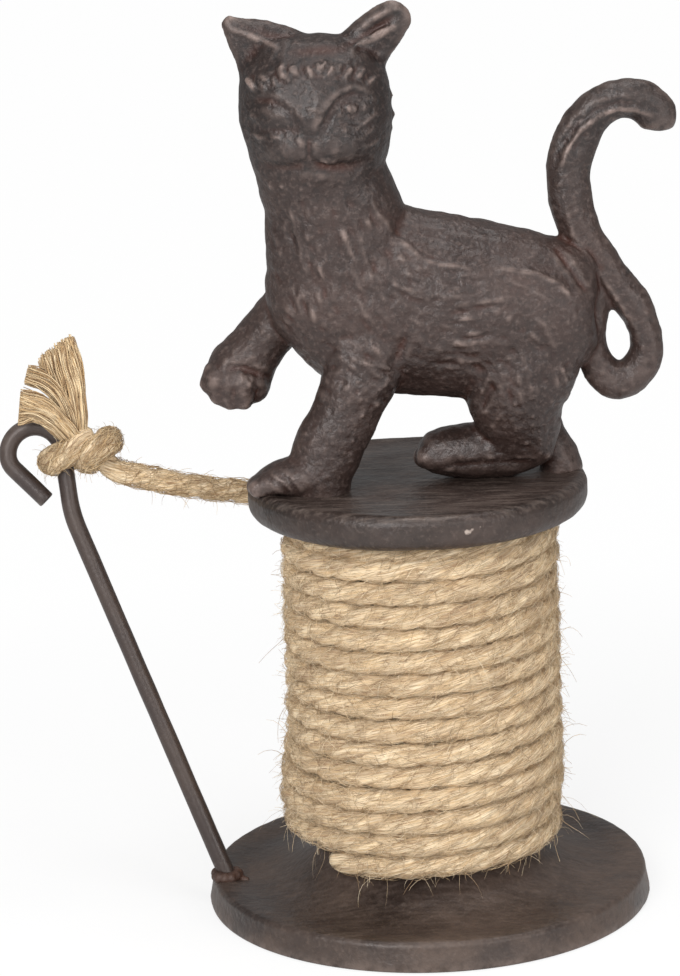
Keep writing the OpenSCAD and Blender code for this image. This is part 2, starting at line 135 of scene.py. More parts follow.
def cast_iron(name, dark, brown, wear_and_highlight, rust, rough, sandy, chips=0.9, wipes_and_sheen=0.0, flat_from=0.0,
              head_shade=0.0, rim_chip=False):
    """Sand-cast iron under a thin brown-black wax: a satin skin with the mould's fine grain, ridges lightened
    by wear and by painted highlight, single grains painted bright as glints, rusty brown left in the hollows,
    wipe marks that also lay a painted sheen on the flat tops, the figure's head darkened as painted shade,
    and here and there a chip down to the metal."""
    made, tree, shader = new_material(name, metallic=0.15)
    place = add(tree, "ShaderNodeTexCoord").outputs["Object"]
    # Patches of thicker and thinner wax, 16 mm across
    patch = add(tree, "ShaderNodeTexNoise", {
        "Vector": place, "Scale": PER_MM / 16, "Detail": 5}).outputs["Fac"]
    spread = add(tree, "ShaderNodeMapRange", {
        "Value": patch, "From Min": 0.35, "From Max": 0.65}).outputs[0]
    # Lumps of the mould's sand, 2.2 mm, and its finest grit, drawn at 1 mm so that it shows
    grain = add(tree, "ShaderNodeTexNoise", {
        "Vector": place, "Scale": PER_MM / 2.2, "Detail": 4}).outputs["Fac"]
    grit = add(tree, "ShaderNodeTexNoise", {"Vector": place, "Scale": PER_MM, "Detail": 2}).outputs["Fac"]
    # Pits between the grains, 1.6 mm, hold the darkest wax
    pits = add(tree, "ShaderNodeTexNoise", {
        "Vector": place, "Scale": PER_MM / 1.6, "Detail": 3}).outputs["Fac"]
    pitted = add(tree, "ShaderNodeMapRange", {
        "Value": pits, "From Min": 0.34, "From Max": 0.54, "To Min": sandy * 0.6, "To Max": 0}).outputs[0]
    # The figure's head is painted darker towards its top with the darkest wax colour: painted shade
    height = add(tree, "ShaderNodeSeparateXYZ", {0: place}).outputs["Z"]
    upper = add(tree, "ShaderNodeMapRange", {
        "Value": height, "From Min": HEAD_SHADE_FROM * MM, "From Max": HEAD_SHADE_FULL * MM, "To Max": head_shade}).outputs[0]
    # Pits and the painted shade on the head, in one share of the darkest colour
    waxed = add(tree, "ShaderNodeMath", {0: pitted, 1: upper}, operation="ADD", use_clamp=True).outputs[0]
    # Rust lies in the hollows, less of it where the wax is thin
    hollow = add(tree, "ShaderNodeAttribute", attribute_name="hollow").outputs["Fac"]
    uneven = add(tree, "ShaderNodeMapRange", {"Value": spread, "To Min": 0.35, "To Max": 0.9}).outputs[0]
    rusty = add(tree, "ShaderNodeMath", {0: hollow, 1: uneven}, operation="MULTIPLY").outputs[0]
    # Ridges are rubbed lighter, most where the grain stands up; this lighter tone on them is also painted
    # highlight
    ridge = add(tree, "ShaderNodeAttribute", attribute_name="ridge").outputs["Fac"]
    thin = add(tree, "ShaderNodeMapRange", {"Value": grain, "From Min": 0.3, "From Max": 0.6}).outputs[0]
    edges = add(tree, "ShaderNodeMath", {0: ridge, 1: thin}, operation="MULTIPLY").outputs[0]
    # Single grains of the skin are painted bright as glints: a painted highlight
    painted_glints = add(tree, "ShaderNodeMapRange", {
        "Value": grit, "From Min": 0.52, "From Max": 0.74, "To Max": sandy * 0.36}).outputs[0]
    # Ridge wear with painted highlight, and the painted glints, take the lighter colour together
    wear_and_glints = add(tree, "ShaderNodeMath", {0: edges, 1: painted_glints}, operation="MAXIMUM").outputs[0]
    # Wipe marks of the wax, 9 mm long and 1.2 mm wide, which also lighten the flat tops as a painted sheen
    wiped = add(tree, "ShaderNodeMapping", {
        "Vector": place, "Scale": (PER_MM / 9, PER_MM / 1.2, PER_MM / 1.2)}).outputs[0]
    marks = add(tree, "ShaderNodeTexNoise", {"Vector": wiped, "Scale": 1, "Detail": 3}).outputs["Fac"]
    wipe_and_sheen_marks = add(tree, "ShaderNodeMapRange", {
        "Value": marks, "From Min": 0.45, "From Max": 0.75, "To Max": wipes_and_sheen}).outputs[0]
    # They lie on the flat that is wiped, not on the rim below it
    flat = add(tree, "ShaderNodeMapRange", {
        "Value": height, "From Min": (flat_from - WIPED_EDGE) * MM, "From Max": flat_from * MM}).outputs[0]
    top_wipes_and_sheen = add(tree, "ShaderNodeMath", {0: wipe_and_sheen_marks, 1: flat}, operation="MULTIPLY").outputs[0]
    # Chips, 5 mm apart where they cluster
    flaw = add(tree, "ShaderNodeTexNoise", {
        "Vector": place, "Scale": PER_MM / 5, "Detail": 6}).outputs["Fac"]
    chip = add(tree, "ShaderNodeMapRange", {
        "Value": flaw, "From Min": chips, "From Max": chips + 0.02}).outputs[0]
    # The lighter colour stands for wear and also for painted highlight, glints and sheen
    layers = [
        (spread, brown), (waxed, PIT_WAX_AND_HEAD_SHADE), (rusty, rust), (wear_and_glints, wear_and_highlight), (top_wipes_and_sheen, wear_and_highlight), (chip, BARE_METAL)]
    if rim_chip:
        # A knock on the rim has gone through to the metal, with a ragged edge
        off = add(tree, "ShaderNodeVectorMath", {
            0: place, 1: [c * MM for c in RIM_CHIP]}, operation="SUBTRACT")
        sized = add(tree, "ShaderNodeVectorMath", {
            0: off.outputs[0], 1: [1 / (c * MM) for c in RIM_CHIP_SIZE]}, operation="MULTIPLY").outputs[0]
        gap = add(tree, "ShaderNodeVectorMath", {0: sized}, operation="LENGTH").outputs["Value"]
        ragged = add(tree, "ShaderNodeMath", {0: grain, 1: 3.0, 2: gap}, operation="MULTIPLY_ADD").outputs[0]
        knock = add(tree, "ShaderNodeMapRange", {
            "Value": ragged, "From Min": 2.3, "From Max": 2.0}).outputs[0]
        layers.append((knock, CHIP_METAL))
    tint = colour(dark)
    for share, over in layers:
        laid = add(tree, "ShaderNodeMix", {0: share, MIX_A: tint, MIX_B: colour(over)}, data_type="RGBA")
        tint = laid.outputs[MIXED]
    tree.links.new(tint, shader.inputs["Base Color"])
    gloss = add(tree, "ShaderNodeMapRange", {
        "Value": patch, "From Min": 0.35, "From Max": 0.65, "To Min": rough[0], "To Max": rough[1]})
    tree.links.new(gloss.outputs[0], shader.inputs["Roughness"])
    fine = add(tree, "ShaderNodeBump", {"Height": grit, "Strength": sandy, "Distance": 0.3 * MM})
    bumps = add(tree, "ShaderNodeBump", {
        "Height": grain, "Strength": sandy, "Distance": 0.55 * MM, "Normal": fine.outputs[0]})
    tree.links.new(bumps.outputs[0], shader.inputs["Normal"])
    return made


def jute(name, pale, tan, brown, own_shade):
    """Spun jute: matt, with long fine fibres whose straw, tan and brown run along the yarn."""
    made, tree, shader = new_material(name, roughness=0.85, specular_ior_level=0.2, sheen_weight=0.15)
    shader.inputs["Sheen Tint"].default_value = colour("#efe0c4")
    lay = add(tree, "ShaderNodeAttribute", attribute_name="lay").outputs["Vector"]
    # Fibre bundles about 0.4 mm wide and 6 mm long, then single fibres drawn at 0.17 mm
    stretched = add(tree, "ShaderNodeMapping", {"Vector": lay, "Scale": (0.17, 2.5, 0.37)}).outputs[0]
    bundle = add(tree, "ShaderNodeTexNoise", {"Vector": stretched, "Scale": 1, "Detail": 3}).outputs["Fac"]
    thin = add(tree, "ShaderNodeMapping", {"Vector": lay, "Scale": (0.3, 6, 0.37)}).outputs[0]
    hair = add(tree, "ShaderNodeTexNoise", {"Vector": thin, "Scale": 1, "Detail": 2}).outputs["Fac"]
    # Darker bark-stained lengths, 20 mm and more apart
    long = add(tree, "ShaderNodeMapping", {"Vector": lay, "Scale": (0.06, 0.3, 0.37)}).outputs[0]
    stain = add(tree, "ShaderNodeTexNoise", {"Vector": long, "Scale": 1, "Detail": 4}).outputs["Fac"]
    mixed = add(tree, "ShaderNodeMapRange", {"Value": bundle, "From Min": 0.36, "From Max": 0.64}).outputs[0]
    lines = add(tree, "ShaderNodeMapRange", {
        "Value": hair, "From Min": 0.48, "From Max": 0.66, "To Max": 0.8}).outputs[0]
    stained = add(tree, "ShaderNodeMapRange", {
        "Value": stain, "From Min": 0.5, "From Max": 0.74, "To Max": 0.6}).outputs[0]
    # Each fibre or strand has a shade of its own
    number = add(tree, "ShaderNodeSeparateXYZ", {0: lay}).outputs["Z"]
    whole = add(tree, "ShaderNodeMath", {0: number}, operation="ROUND").outputs[0]
    chance = add(tree, "ShaderNodeTexWhiteNoise", {"W": whole}, noise_dimensions="1D").outputs["Value"]
    shade = add(tree, "ShaderNodeMapRange", {
        "Value": chance, "From Min": 0.4, "To Max": own_shade}).outputs[0]
    tint = colour(tan)
    for share, over in ((mixed, pale), (lines, brown), (stained, brown), (shade, brown)):
        laid = add(tree, "ShaderNodeMix", {0: share, MIX_A: tint, MIX_B: colour(over)}, data_type="RGBA")
        tint = laid.outputs[MIXED]
    tree.links.new(tint, shader.inputs["Base Color"])
    fine = add(tree, "ShaderNodeBump", {"Height": hair, "Strength": 0.6, "Distance": 0.15 * MM})
    cords = add(tree, "ShaderNodeBump", {
        "Height": bundle, "Strength": 0.8, "Distance": 0.35 * MM, "Normal": fine.outputs[0]})
    tree.links.new(cords.outputs[0], shader.inputs["Normal"])
    return made


def turned_steel(name):
    """Bright mild steel off the lathe: fine turning lines 0.3 mm apart round the axis, dulled by oil."""
    made, tree, shader = new_material(name, metallic=1.0)
    place = add(tree, "ShaderNodeTexCoord").outputs["Object"]
    lines = add(tree, "ShaderNodeMapping", {
        "Vector": place, "Scale": (60, 60, PER_MM / 0.3)}).outputs[0]
    marks = add(tree, "ShaderNodeTexNoise", {"Vector": lines, "Scale": 1, "Detail": 1}).outputs["Fac"]
    film = add(tree, "ShaderNodeTexNoise", {
        "Vector": place, "Scale": PER_MM / 9, "Detail": 3}).outputs["Fac"]
    tint = add(tree, "ShaderNodeMix", {
        0: film, MIX_A: colour("#a5a4a2"), MIX_B: colour("#8b8782")}, data_type="RGBA")
    tree.links.new(tint.outputs[MIXED], shader.inputs["Base Color"])
    gloss = add(tree, "ShaderNodeMapRange", {"Value": marks, "To Min": 0.24, "To Max": 0.44})
    tree.links.new(gloss.outputs[0], shader.inputs["Roughness"])
    bumps = add(tree, "ShaderNodeBump", {"Height": marks, "Strength": 0.15, "Distance": 0.05 * MM})
    tree.links.new(bumps.outputs[0], shader.inputs["Normal"])
    return made


def moulded_nylon(name):
    """Natural nylon from a smooth mould: milky cream, faintly cloudy and soft in gloss."""
    made, tree, shader = new_material(name, ior=1.53, subsurface_weight=0.15)
    place = add(tree, "ShaderNodeTexCoord").outputs["Object"]
    cloud = add(tree, "ShaderNodeTexNoise", {
        "Vector": place, "Scale": PER_MM / 8, "Detail": 3}).outputs["Fac"]
    tint = add(tree, "ShaderNodeMix", {
        0: cloud, MIX_A: colour("#dcd5c4"), MIX_B: colour("#cfc6b1")}, data_type="RGBA")
    tree.links.new(tint.outputs[MIXED], shader.inputs["Base Color"])
    gloss = add(tree, "ShaderNodeMapRange", {"Value": cloud, "To Min": 0.35, "To Max": 0.55})
    tree.links.new(gloss.outputs[0], shader.inputs["Roughness"])
    return made


def wound_board(name):
    """Kraft board wound into a tube: matt brown paper with slanting plies 18 mm wide and flecks of fibre."""
    made, tree, shader = new_material(name, roughness=0.9)
    place = add(tree, "ShaderNodeTexCoord").outputs["Object"]
    slant = add(tree, "ShaderNodeMapping", {
        "Vector": place, "Rotation": (0, math.radians(25), 0)}).outputs[0]
    plies = add(tree, "ShaderNodeTexWave", {
        "Vector": slant, "Scale": PER_MM / 18 / 20, "Distortion": 0.4}, bands_direction="Z").outputs["Fac"]
    flecks = add(tree, "ShaderNodeTexNoise", {
        "Vector": place, "Scale": PER_MM / 0.8, "Detail": 3}).outputs["Fac"]
    tint = add(tree, "ShaderNodeMix", {
        0: flecks, MIX_A: colour("#b08c5e"), MIX_B: colour("#94714a")}, data_type="RGBA")
    tree.links.new(tint.outputs[MIXED], shader.inputs["Base Color"])
    bumps = add(tree, "ShaderNodeBump", {"Height": plies, "Strength": 0.3, "Distance": 0.2 * MM})
    tree.links.new(bumps.outputs[0], shader.inputs["Normal"])
    return made


def turned_beech(name):
    """Turned beech without varnish: pinkish tan with short darker flecks of ray along the grain."""
    made, tree, shader = new_material(name, roughness=0.62)
    place = add(tree, "ShaderNodeTexCoord").outputs["Object"]
    # Flecks about 0.5 mm wide and 5 mm long
    grain = add(tree, "ShaderNodeMapping", {
        "Vector": place, "Scale": (PER_MM / 5, PER_MM / 0.5, PER_MM / 0.5)}).outputs[0]
    flecks = add(tree, "ShaderNodeTexNoise", {"Vector": grain, "Scale": 1, "Detail": 3}).outputs["Fac"]
    spread = add(tree, "ShaderNodeMapRange", {"Value": flecks, "From Min": 0.45, "From Max": 0.7}).outputs[0]
    tint = add(tree, "ShaderNodeMix", {
        0: spread, MIX_A: colour("#c9a071"), MIX_B: colour("#a67b4e")}, data_type="RGBA")
    tree.links.new(tint.outputs[MIXED], shader.inputs["Base Color"])
    bumps = add(tree, "ShaderNodeBump", {"Height": flecks, "Strength": 0.2, "Distance": 0.1 * MM})
    tree.links.new(bumps.outputs[0], shader.inputs["Normal"])
    return made


# The figure's iron: its head painted darker as shade, its ridges and grains painted light as highlight and
# glints
IRON = cast_iron(
    "waxed_cast_iron", "#2b1e1a", "#3c2d28", "#7a6962", "#3a1a0e", rough=(0.4, 0.54), sandy=0.65, head_shade=0.6)
# Base and plate: wipe marks that also lighten their flat tops as painted sheen
BASE_IRON = cast_iron(
    "waxed_cast_iron_base", "#2a201c", "#4e4038", "#796a62", "#412417", rough=(0.38, 0.54), sandy=0.42,
    chips=0.95, wipes_and_sheen=0.2, flat_from=BASE_RIM)
PLATE_IRON = cast_iron(
    "waxed_cast_iron_plate", "#211814", "#382a24", "#83746b", "#432114", rough=(0.38, 0.54), sandy=0.5,
    chips=0.78, wipes_and_sheen=0.4, flat_from=PLATE_TOP - 0.1, rim_chip=True)
ROD_IRON = cast_iron(
    "drawn_rod_blacked", "#342a27", "#423630", "#736862", "#3c251c", rough=(0.36, 0.48), sandy=0.2)
WELD_IRON = cast_iron(
    "weld_bead_rusted", "#30231e", "#4c2f21", "#5b4a42", "#5a2d16", rough=(0.45, 0.7), sandy=0.5)
JUTE = jute("laid_jute_rope", "#f2e0c0", "#d8bb92", "#826349", own_shade=0.2)
FRAYED = jute("stray_jute_fibre", "#f4e5c8", "#d9bc92", "#806042", own_shade=0.75)
# A darker copy of the stray fibre, for the frayed ends and the lead's fuzz; on the lead, the same rope as the
# roll, the darker tone is painted shade
COMBED_AND_SHADED = jute("combed_jute_ends_painted_shade", "#ead6b2", "#c8a87b", "#745437", own_shade=0.85)


# Pieces: modelled in millimetres in the shared frame, then scaled to metres

def show(name, mesh, finish, body, slot, *nodes):
    """A finished mesh as a piece that rides on a body and stands for its plain solids."""
    made = bpy.data.objects.new(name, mesh)
    bpy.context.scene.collection.objects.link(made)
    mesh.materials.clear()
    mesh.materials.append(finish)
    mesh.shade_smooth()
    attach(made, body)
    if nodes:
        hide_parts(*nodes)
    return made


def to_mesh(name, bm):
    bmesh.ops.scale(bm, vec=(MM, MM, MM), verts=bm.verts)
    mesh = bpy.data.meshes.new(name)
    bm.to_mesh(mesh)
    bm.free()
    return mesh


def mesh_of(name, data):
    """The plain mesh of a curve, or of an object's modifiers, which is then the only thing left."""
    holder = bpy.data.objects.new(name, data) if not isinstance(data, bpy.types.Object) else data
    if holder.name not in bpy.context.scene.collection.objects:
        bpy.context.scene.collection.objects.link(holder)
    ready = holder.evaluated_get(bpy.context.evaluated_depsgraph_get())
    mesh = bpy.data.meshes.new_from_object(ready)
    mesh.name = name
    bpy.data.objects.remove(holder)
    return mesh


def set_values(mesh, name, values, kind="FLOAT"):
    """Values for each vertex, kept on the mesh for its material."""
    field = mesh.attributes.new(name, kind, "POINT")
    field.data.foreach_set("value" if kind == "FLOAT" else "vector", np.asarray(values, np.float32).ravel())


def points_of(mesh):
    found = np.empty(len(mesh.vertices) * 3, np.float32)
    mesh.vertices.foreach_get("co", found)
    return found.reshape(-1, 3).astype(float)


def put_points(mesh, points):
    mesh.vertices.foreach_set("co", points.astype(np.float32).ravel())
    mesh.update()


def normals_of(mesh):
    found = np.empty(len(mesh.vertices) * 3, np.float32)
    mesh.vertex_normals.foreach_get("vector", found)
    return found.reshape(-1, 3).astype(float)


def neighbour_mean(mesh, values):
    """The mean over each vertex's neighbours."""
    pairs = np.empty(len(mesh.edges) * 2, np.int32)
    mesh.edges.foreach_get("vertices", pairs)
    a, b = pairs.reshape(-1, 2).T
    total, count = np.zeros_like(values), np.zeros(len(values))
    np.add.at(total, a, values[b])
    np.add.at(total, b, values[a])
    np.add.at(count, a, 1)
    np.add.at(count, b, 1)
    return total / np.maximum(count, 1).reshape([-1] + [1] * (values.ndim - 1))


def mark_wear(mesh, rounds=3, gain=0.4, stains=0.0):
    """Ridges, which hands rub bright and which also carry painted highlight, and hollows, which keep their
    rust, from the shape itself.
    """
    places, ways = points_of(mesh), normals_of(mesh)
    bend = np.einsum("ij,ij->i", places - neighbour_mean(mesh, places), ways)
    for _ in range(rounds):
        bend = 0.4 * bend + 0.6 * neighbour_mean(mesh, bend)
    bend /= np.sqrt((bend ** 2).mean()) + 1e-12
    set_values(mesh, "ridge", np.clip((bend - 0.6) * gain, 0, 1))
    set_values(mesh, "hollow", np.clip((-bend - 0.4) * gain + stains, 0, 1))


def roughen(points, ways, size, height, seed=0.0):
    """Points moved along their normals by smooth noise of that size, in millimetres."""
    shift = Vector((seed, 3.1 * seed, -1.7 * seed))
    rise = np.array([noise.noise(Vector(p) / size + shift) for p in points])
    return points + ways * (rise * height)[:, None]


def smooth_rows(rows, steps):
    """Rows in between the given ones, on a smooth run."""
    rows = [np.array(r, float) for r in rows]
    fine = []
    for i in range(len(rows) - 1):
        a, b, c, d = (rows[min(max(i + k, 0), len(rows) - 1)] for k in (-1, 0, 1, 2))
        for s in range(steps):
            t = s / steps
            fine.append(0.5 * (2 * b + (c - a) * t + (2 * a - 5 * b + 4 * c - d) * t ** 2
                               + (3 * b - a - 3 * c + d) * t ** 3))
    return fine + [rows[-1]]


# Rope: strands twisted round a route, fibres that lie on them and fibres that stand off.
# Steps of roundness: a fibre gets 4 sides, a hidden strand 6, a strand in view 8
FIBRE, HIDDEN, STRAND = 0, 1, 2
YARN_LUMP = 1.4


def frames_along(route, outward=None):
    """Heading, outward and upward direction at each point of a route."""
    route = np.asarray(route, float)
    ahead = np.gradient(route, axis=0)
    ahead /= np.linalg.norm(ahead, axis=1)[:, None]
    out = np.tile([0.0, -1.0, 0.0], (len(route), 1)) if outward is None else np.asarray(outward, float)
    out = out - ahead * np.einsum("ij,ij->i", out, ahead)[:, None]
    out /= np.linalg.norm(out, axis=1)[:, None]
    return ahead, out, np.cross(ahead, out) * -1


def even_route(points, step):
    """A smooth route through points, with a point every step millimetres."""
    between = 12
    fine = np.array(smooth_rows(points, between))
    run = np.concatenate([[0], np.cumsum(np.linalg.norm(np.diff(fine, axis=0), axis=1))])
    at = np.linspace(0, run[-1], max(int(run[-1] / step), 4) + 1)
    return np.column_stack([np.interp(at, run, fine[:, k]) for k in range(fine.shape[1])])


def tubes(name, lines, sides_step, seed, lumpy=0.0):
    """Round tubes along lines of points x, y, z, radius in millimetres, with the yarn's lay kept on
    them: millimetres along, millimetres round, and a number of its own for each tube."""
    curve = bpy.data.curves.new(name, "CURVE")
    curve.dimensions = "3D"
    curve.bevel_depth = 1
    curve.bevel_resolution = sides_step
    for line in lines:
        line = np.asarray(line, float)
        spline = curve.splines.new("POLY")
        spline.points.add(len(line) - 1)
        spline.points.foreach_set("co", np.column_stack([line[:, :3] * MM, np.ones(len(line))]).ravel())
        spline.points.foreach_set("radius", line[:, 3] * MM)
    mesh = mesh_of(name, curve)
    sides = len(mesh.vertices) // sum(len(line) for line in lines)
    draw = np.random.default_rng(seed)
    lay = []
    for line in lines:
        line = np.asarray(line, float)
        run = np.concatenate([[0], np.cumsum(np.linalg.norm(np.diff(line[:, :3], axis=0), axis=1))])
        start, own = draw.uniform(0, 400), draw.integers(0, 900)
        # The round measure runs up and back down, so that no seam shows where it closes
        turn = np.abs(np.linspace(-1, 1, sides, endpoint=False)) * math.pi
        along = np.repeat(run + start, sides)
        around = np.tile(turn, len(line)) * np.repeat(line[:, 3], sides)
        lay.append(np.column_stack([along, around, np.full(len(along), own)]))
    set_values(mesh, "lay", np.vstack(lay), "FLOAT_VECTOR")
    bm = bmesh.new()
    bm.from_mesh(mesh)
    bmesh.ops.holes_fill(bm, edges=[e for e in bm.edges if e.is_boundary], sides=sides)
    bmesh.ops.recalc_face_normals(bm, faces=bm.faces)
    bm.to_mesh(mesh)
    bm.free()
    if lumpy:
        put_points(mesh, roughen(points_of(mesh) / MM, normals_of(mesh), YARN_LUMP, lumpy, seed) * MM)
    return mesh


def rope_lines(route, frames, diameter, lay, uneven, seed, flat=1.0, pressed=0.17, strands=3):
    """The lines of a rope's strands, laid right-handed, pressed together and a little uneven, as jute
    is; flat is how much a hard pull widens the rope, pressed how far from its middle the strands lie."""
    out, up = frames[1:]
    wander_long, swell_long = 26, 9
    run = np.concatenate([[0], np.cumsum(np.linalg.norm(np.diff(route, axis=0), axis=1))])
    shift = Vector((seed, 0, 0))
    lines = []
    for k in range(strands):
        wander = np.array([noise.noise(Vector((s / wander_long, k * 7.3, 0)) + shift) for s in run]) * uneven
        swell = np.array([noise.noise(Vector((s / swell_long, k * 5.1, 4)) + shift) for s in run]) * uneven
        turn = 2 * math.pi * (run / lay + k / strands) + 2 * wander
        centre = diameter * pressed * (1 + wander)
        places = route + out * (centre * np.cos(turn) / flat)[:, None]
        places = places + up * (centre * np.sin(turn) * flat)[:, None]
        lines.append(np.column_stack([places, diameter * (0.5 - pressed) * (1 + 0.5 * swell)]))
    return lines


def nap(route, frames, radius, count, length, spread, seed, thick=0.06):
    """Short fibres that lie on a rope, most of them along its lay, and bridge its strands' grooves."""
    out, up = frames[1:]
    lay_slant, slant_spread, low, high, swing = 24, 44, -0.1, 0.6, 0.7
    draw = random.Random(seed)
    step = np.linalg.norm(route[1] - route[0])
    lines = []
    for _ in range(count):
        at = draw.uniform(4, len(route) - 6)
        side = math.radians(draw.uniform(-spread, spread))
        slant = math.radians(draw.gauss(lay_slant, slant_spread))
        long = length * draw.uniform(0.35, 1)
        lift, sway = draw.uniform(low, high), draw.uniform(-swing, swing)
        own = thick * draw.uniform(0.7, 1.3)
        line = []
        for k in (-0.5, -0.25, 0, 0.25, 0.5):
            s = min(max(at + k * long * math.cos(slant) / step, 0), len(route) - 2)
            a = side + (k * long * math.sin(slant) + sway * math.cos(math.pi * k)) / radius
            i = int(s)
            middle = route[i] * (i + 1 - s) + route[i + 1] * (s - i)
            away = out[i] * math.cos(a) + up[i] * math.sin(a)
            line.append([*(middle + away * (radius + lift * math.cos(math.pi * k))), own * (1 - abs(k))])
        lines.append(line)
    return lines


def fibres(route, frames, radius, count, length, spread, seed, thick=0.06, droop=0.25, across=0.5, curly=0.5):
    """Loose fibres that leave a rope's surface, more or less across it, curl and hang a little."""
    ahead, out, up = frames
    steps, rooted, thinner, bend, hang = 5, 0.93, 0.11, 0.35, 0.3
    draw = random.Random(seed)
    lines = []
    for _ in range(count):
        i = draw.randrange(2, len(route) - 2)
        a = math.radians(draw.uniform(-spread, spread))
        away = out[i] * math.cos(a) + up[i] * math.sin(a)
        along = ahead[i] * draw.choice((-1, 1))
        way = along * draw.uniform(0.5, 1.2) + away * draw.uniform(0.1, 0.75)
        way = way + up[i] * draw.uniform(-across, across)
        way = way / np.linalg.norm(way)
        curl = np.array([draw.uniform(-1, 1) for _ in range(3)]) * curly
        long = length * draw.uniform(0.35, 1) ** 1.5
        place = route[i] + away * radius * rooted
        line = []
        for s in range(steps + 1):
            line.append([*place, thick * draw.uniform(0.7, 1.15) * (1 - thinner * s)])
            way = way + curl * bend + np.array([0, 0, -droop * hang]) * s
            way = way / np.linalg.norm(way)
            place = place + way * long / steps
        lines.append(line)
    return lines


# The free rope: from the back of the roll, under the plate's edge, to its knot on the rod
LEAD_POINTS = [
    (-14, 32.6, 95.4), (-23, 30, 95.4), (-28, 28.5, 95.7), (-32, 27, 96.3), (-36, 25.3, 97.4),
    (-40, 23.7, 98.6), (-44, 22.3, 99.6), (-48, 21.3, 100.3), (-52, 20.4, 101.1), (-56, 19.6, 102),
    (-60, 18.8, 103), (-64, 18, 104.2), (-68, 17.5, 105.4), (-72, 17, 106.6), (-75.5, 16.5, 108.4),
    (-78.5, 16, 111)]

# The knot: one thick turn round the rod, one turn over both legs of it, from the knot's middle
ROD_TURN = [
    (9.5, 3.4, 1.4), (6, 5, 0.4), (1.8, 5.4, -1.2), (-2, 3.8, -2), (-3.3, 0, -1), (-2.3, -3.6, 0.2),
    (0.8, -5.4, 2.1), (3.9, -5, 4.1), (7.4, -2.6, 4.6)]
OVER_TURN = [
    (8.4, 2, -1.5), (6.2, -2.6, -0.2), (6, -4.4, 0.5), (8, -6.2, 2.3), (10.8, -5, 4.2), (11.8, -1, 4.1),
    (10.2, 3, 2.3), (7.8, 4.4, 0.1), (7.6, 3, -1.4)]
ROD_TURN_D, OVER_TURN_D, ROD_TURN_FLAT, OVER_TURN_FLAT, KNOT_LAY = 6.2, 6.4, 1.35, 1.05, 26


def make_free_rope():
    unseen, squeezed, squeeze = 8, 7, 0.55
    route = even_route(LEAD_POINTS, 1.0)
    frames = frames_along(route)
    strands = rope_lines(route, frames, ROPE_D, ROPE_LAY, uneven=0.14, seed=5, pressed=0.2)
    # Its first millimetres are still pressed between the rows of the roll
    for line in strands:
        line[:squeezed, 3] *= np.linspace(squeeze, 1, squeezed)
    laid = tubes("rope_lead_laid", strands, STRAND, seed=5, lumpy=0.15)
    lead = show("rope_lead_laid", laid, JUTE, "base", "jute", "rope_lead")

    seen = [f[unseen:] for f in frames]
    hairs = fibres(route[unseen:], seen, radius=2.8, count=260, length=5, spread=180, seed=6)
    hairs += nap(route[unseen:], seen, radius=2.9, count=1000, length=7, spread=180, seed=9)
    turns = []
    for number, (points, thick, flat) in enumerate((
            (ROD_TURN, ROD_TURN_D, ROD_TURN_FLAT), (OVER_TURN, OVER_TURN_D, OVER_TURN_FLAT))):
        route = even_route([KNOT + Vector(p) for p in points], 0.8)
        frames = frames_along(route, route - route.mean(axis=0))
        turns += rope_lines(route, frames, thick, KNOT_LAY, uneven=0.16, seed=11 + number, flat=flat,
                            pressed=0.2)
        hairs += fibres(route, frames, thick / 2, count=130, length=5, spread=110, seed=21 + number)
        hairs += nap(route, frames, thick / 2, count=420, length=8, spread=120, seed=23 + number, thick=0.07)
    tied = tubes("rope_knot_laid", turns, STRAND, seed=7, lumpy=0.2)
    knot = show("rope_knot_laid", tied, JUTE, "base", "jute", "rope_knot")
    # The lead's fuzz takes the darker fibre, a painted shade on the lead
    loose = tubes("rope_lead_fuzz", hairs, FIBRE, seed=8)
    fuzz = show("rope_lead_fuzz", loose, COMBED_AND_SHADED, "base", "frayed_jute")
    return lead, knot, fuzz


# The frayed ends: rows from the knot's middle, x, y, z, half width, half depth
UPPER_TUFT = [
    (3.7, -2.2, 3, 1.6, 1.6), (3.6, -2.4, 7.2, 1.9, 1.6), (3.2, -2.2, 11, 2.7, 2), (2.6, -1.8, 14, 3.3, 2.2),
    (2.1, -1.4, 17, 3.9, 2.2), (1.4, -1, 20.4, 4.4, 2.2), (0.5, -0.7, 23.3, 4.7, 2),
    (-0.9, -0.4, 30.2, 4.4, 1.6)]
SIDE_TUFT = [
    (2.6, -3, 7, 1.3, 1.4), (1.8, -3, 12, 1.7, 1.6), (-0.8, -2.8, 17.2, 1.9, 1.4), (-4, -2.4, 20.4, 1.8, 1.2),
    (-7.8, -2, 21.7, 1.9, 1)]
LOWER_TUFT = [
    (3.4, -3.8, 4.4, 1.8, 1.8), (1.2, -5, 8, 2.3, 2), (-2.4, -5.8, 12, 2.6, 2.2), (-5.6, -6.3, 14, 3.3, 2),
    (-9.6, -6.5, 14.7, 4, 1.6)]


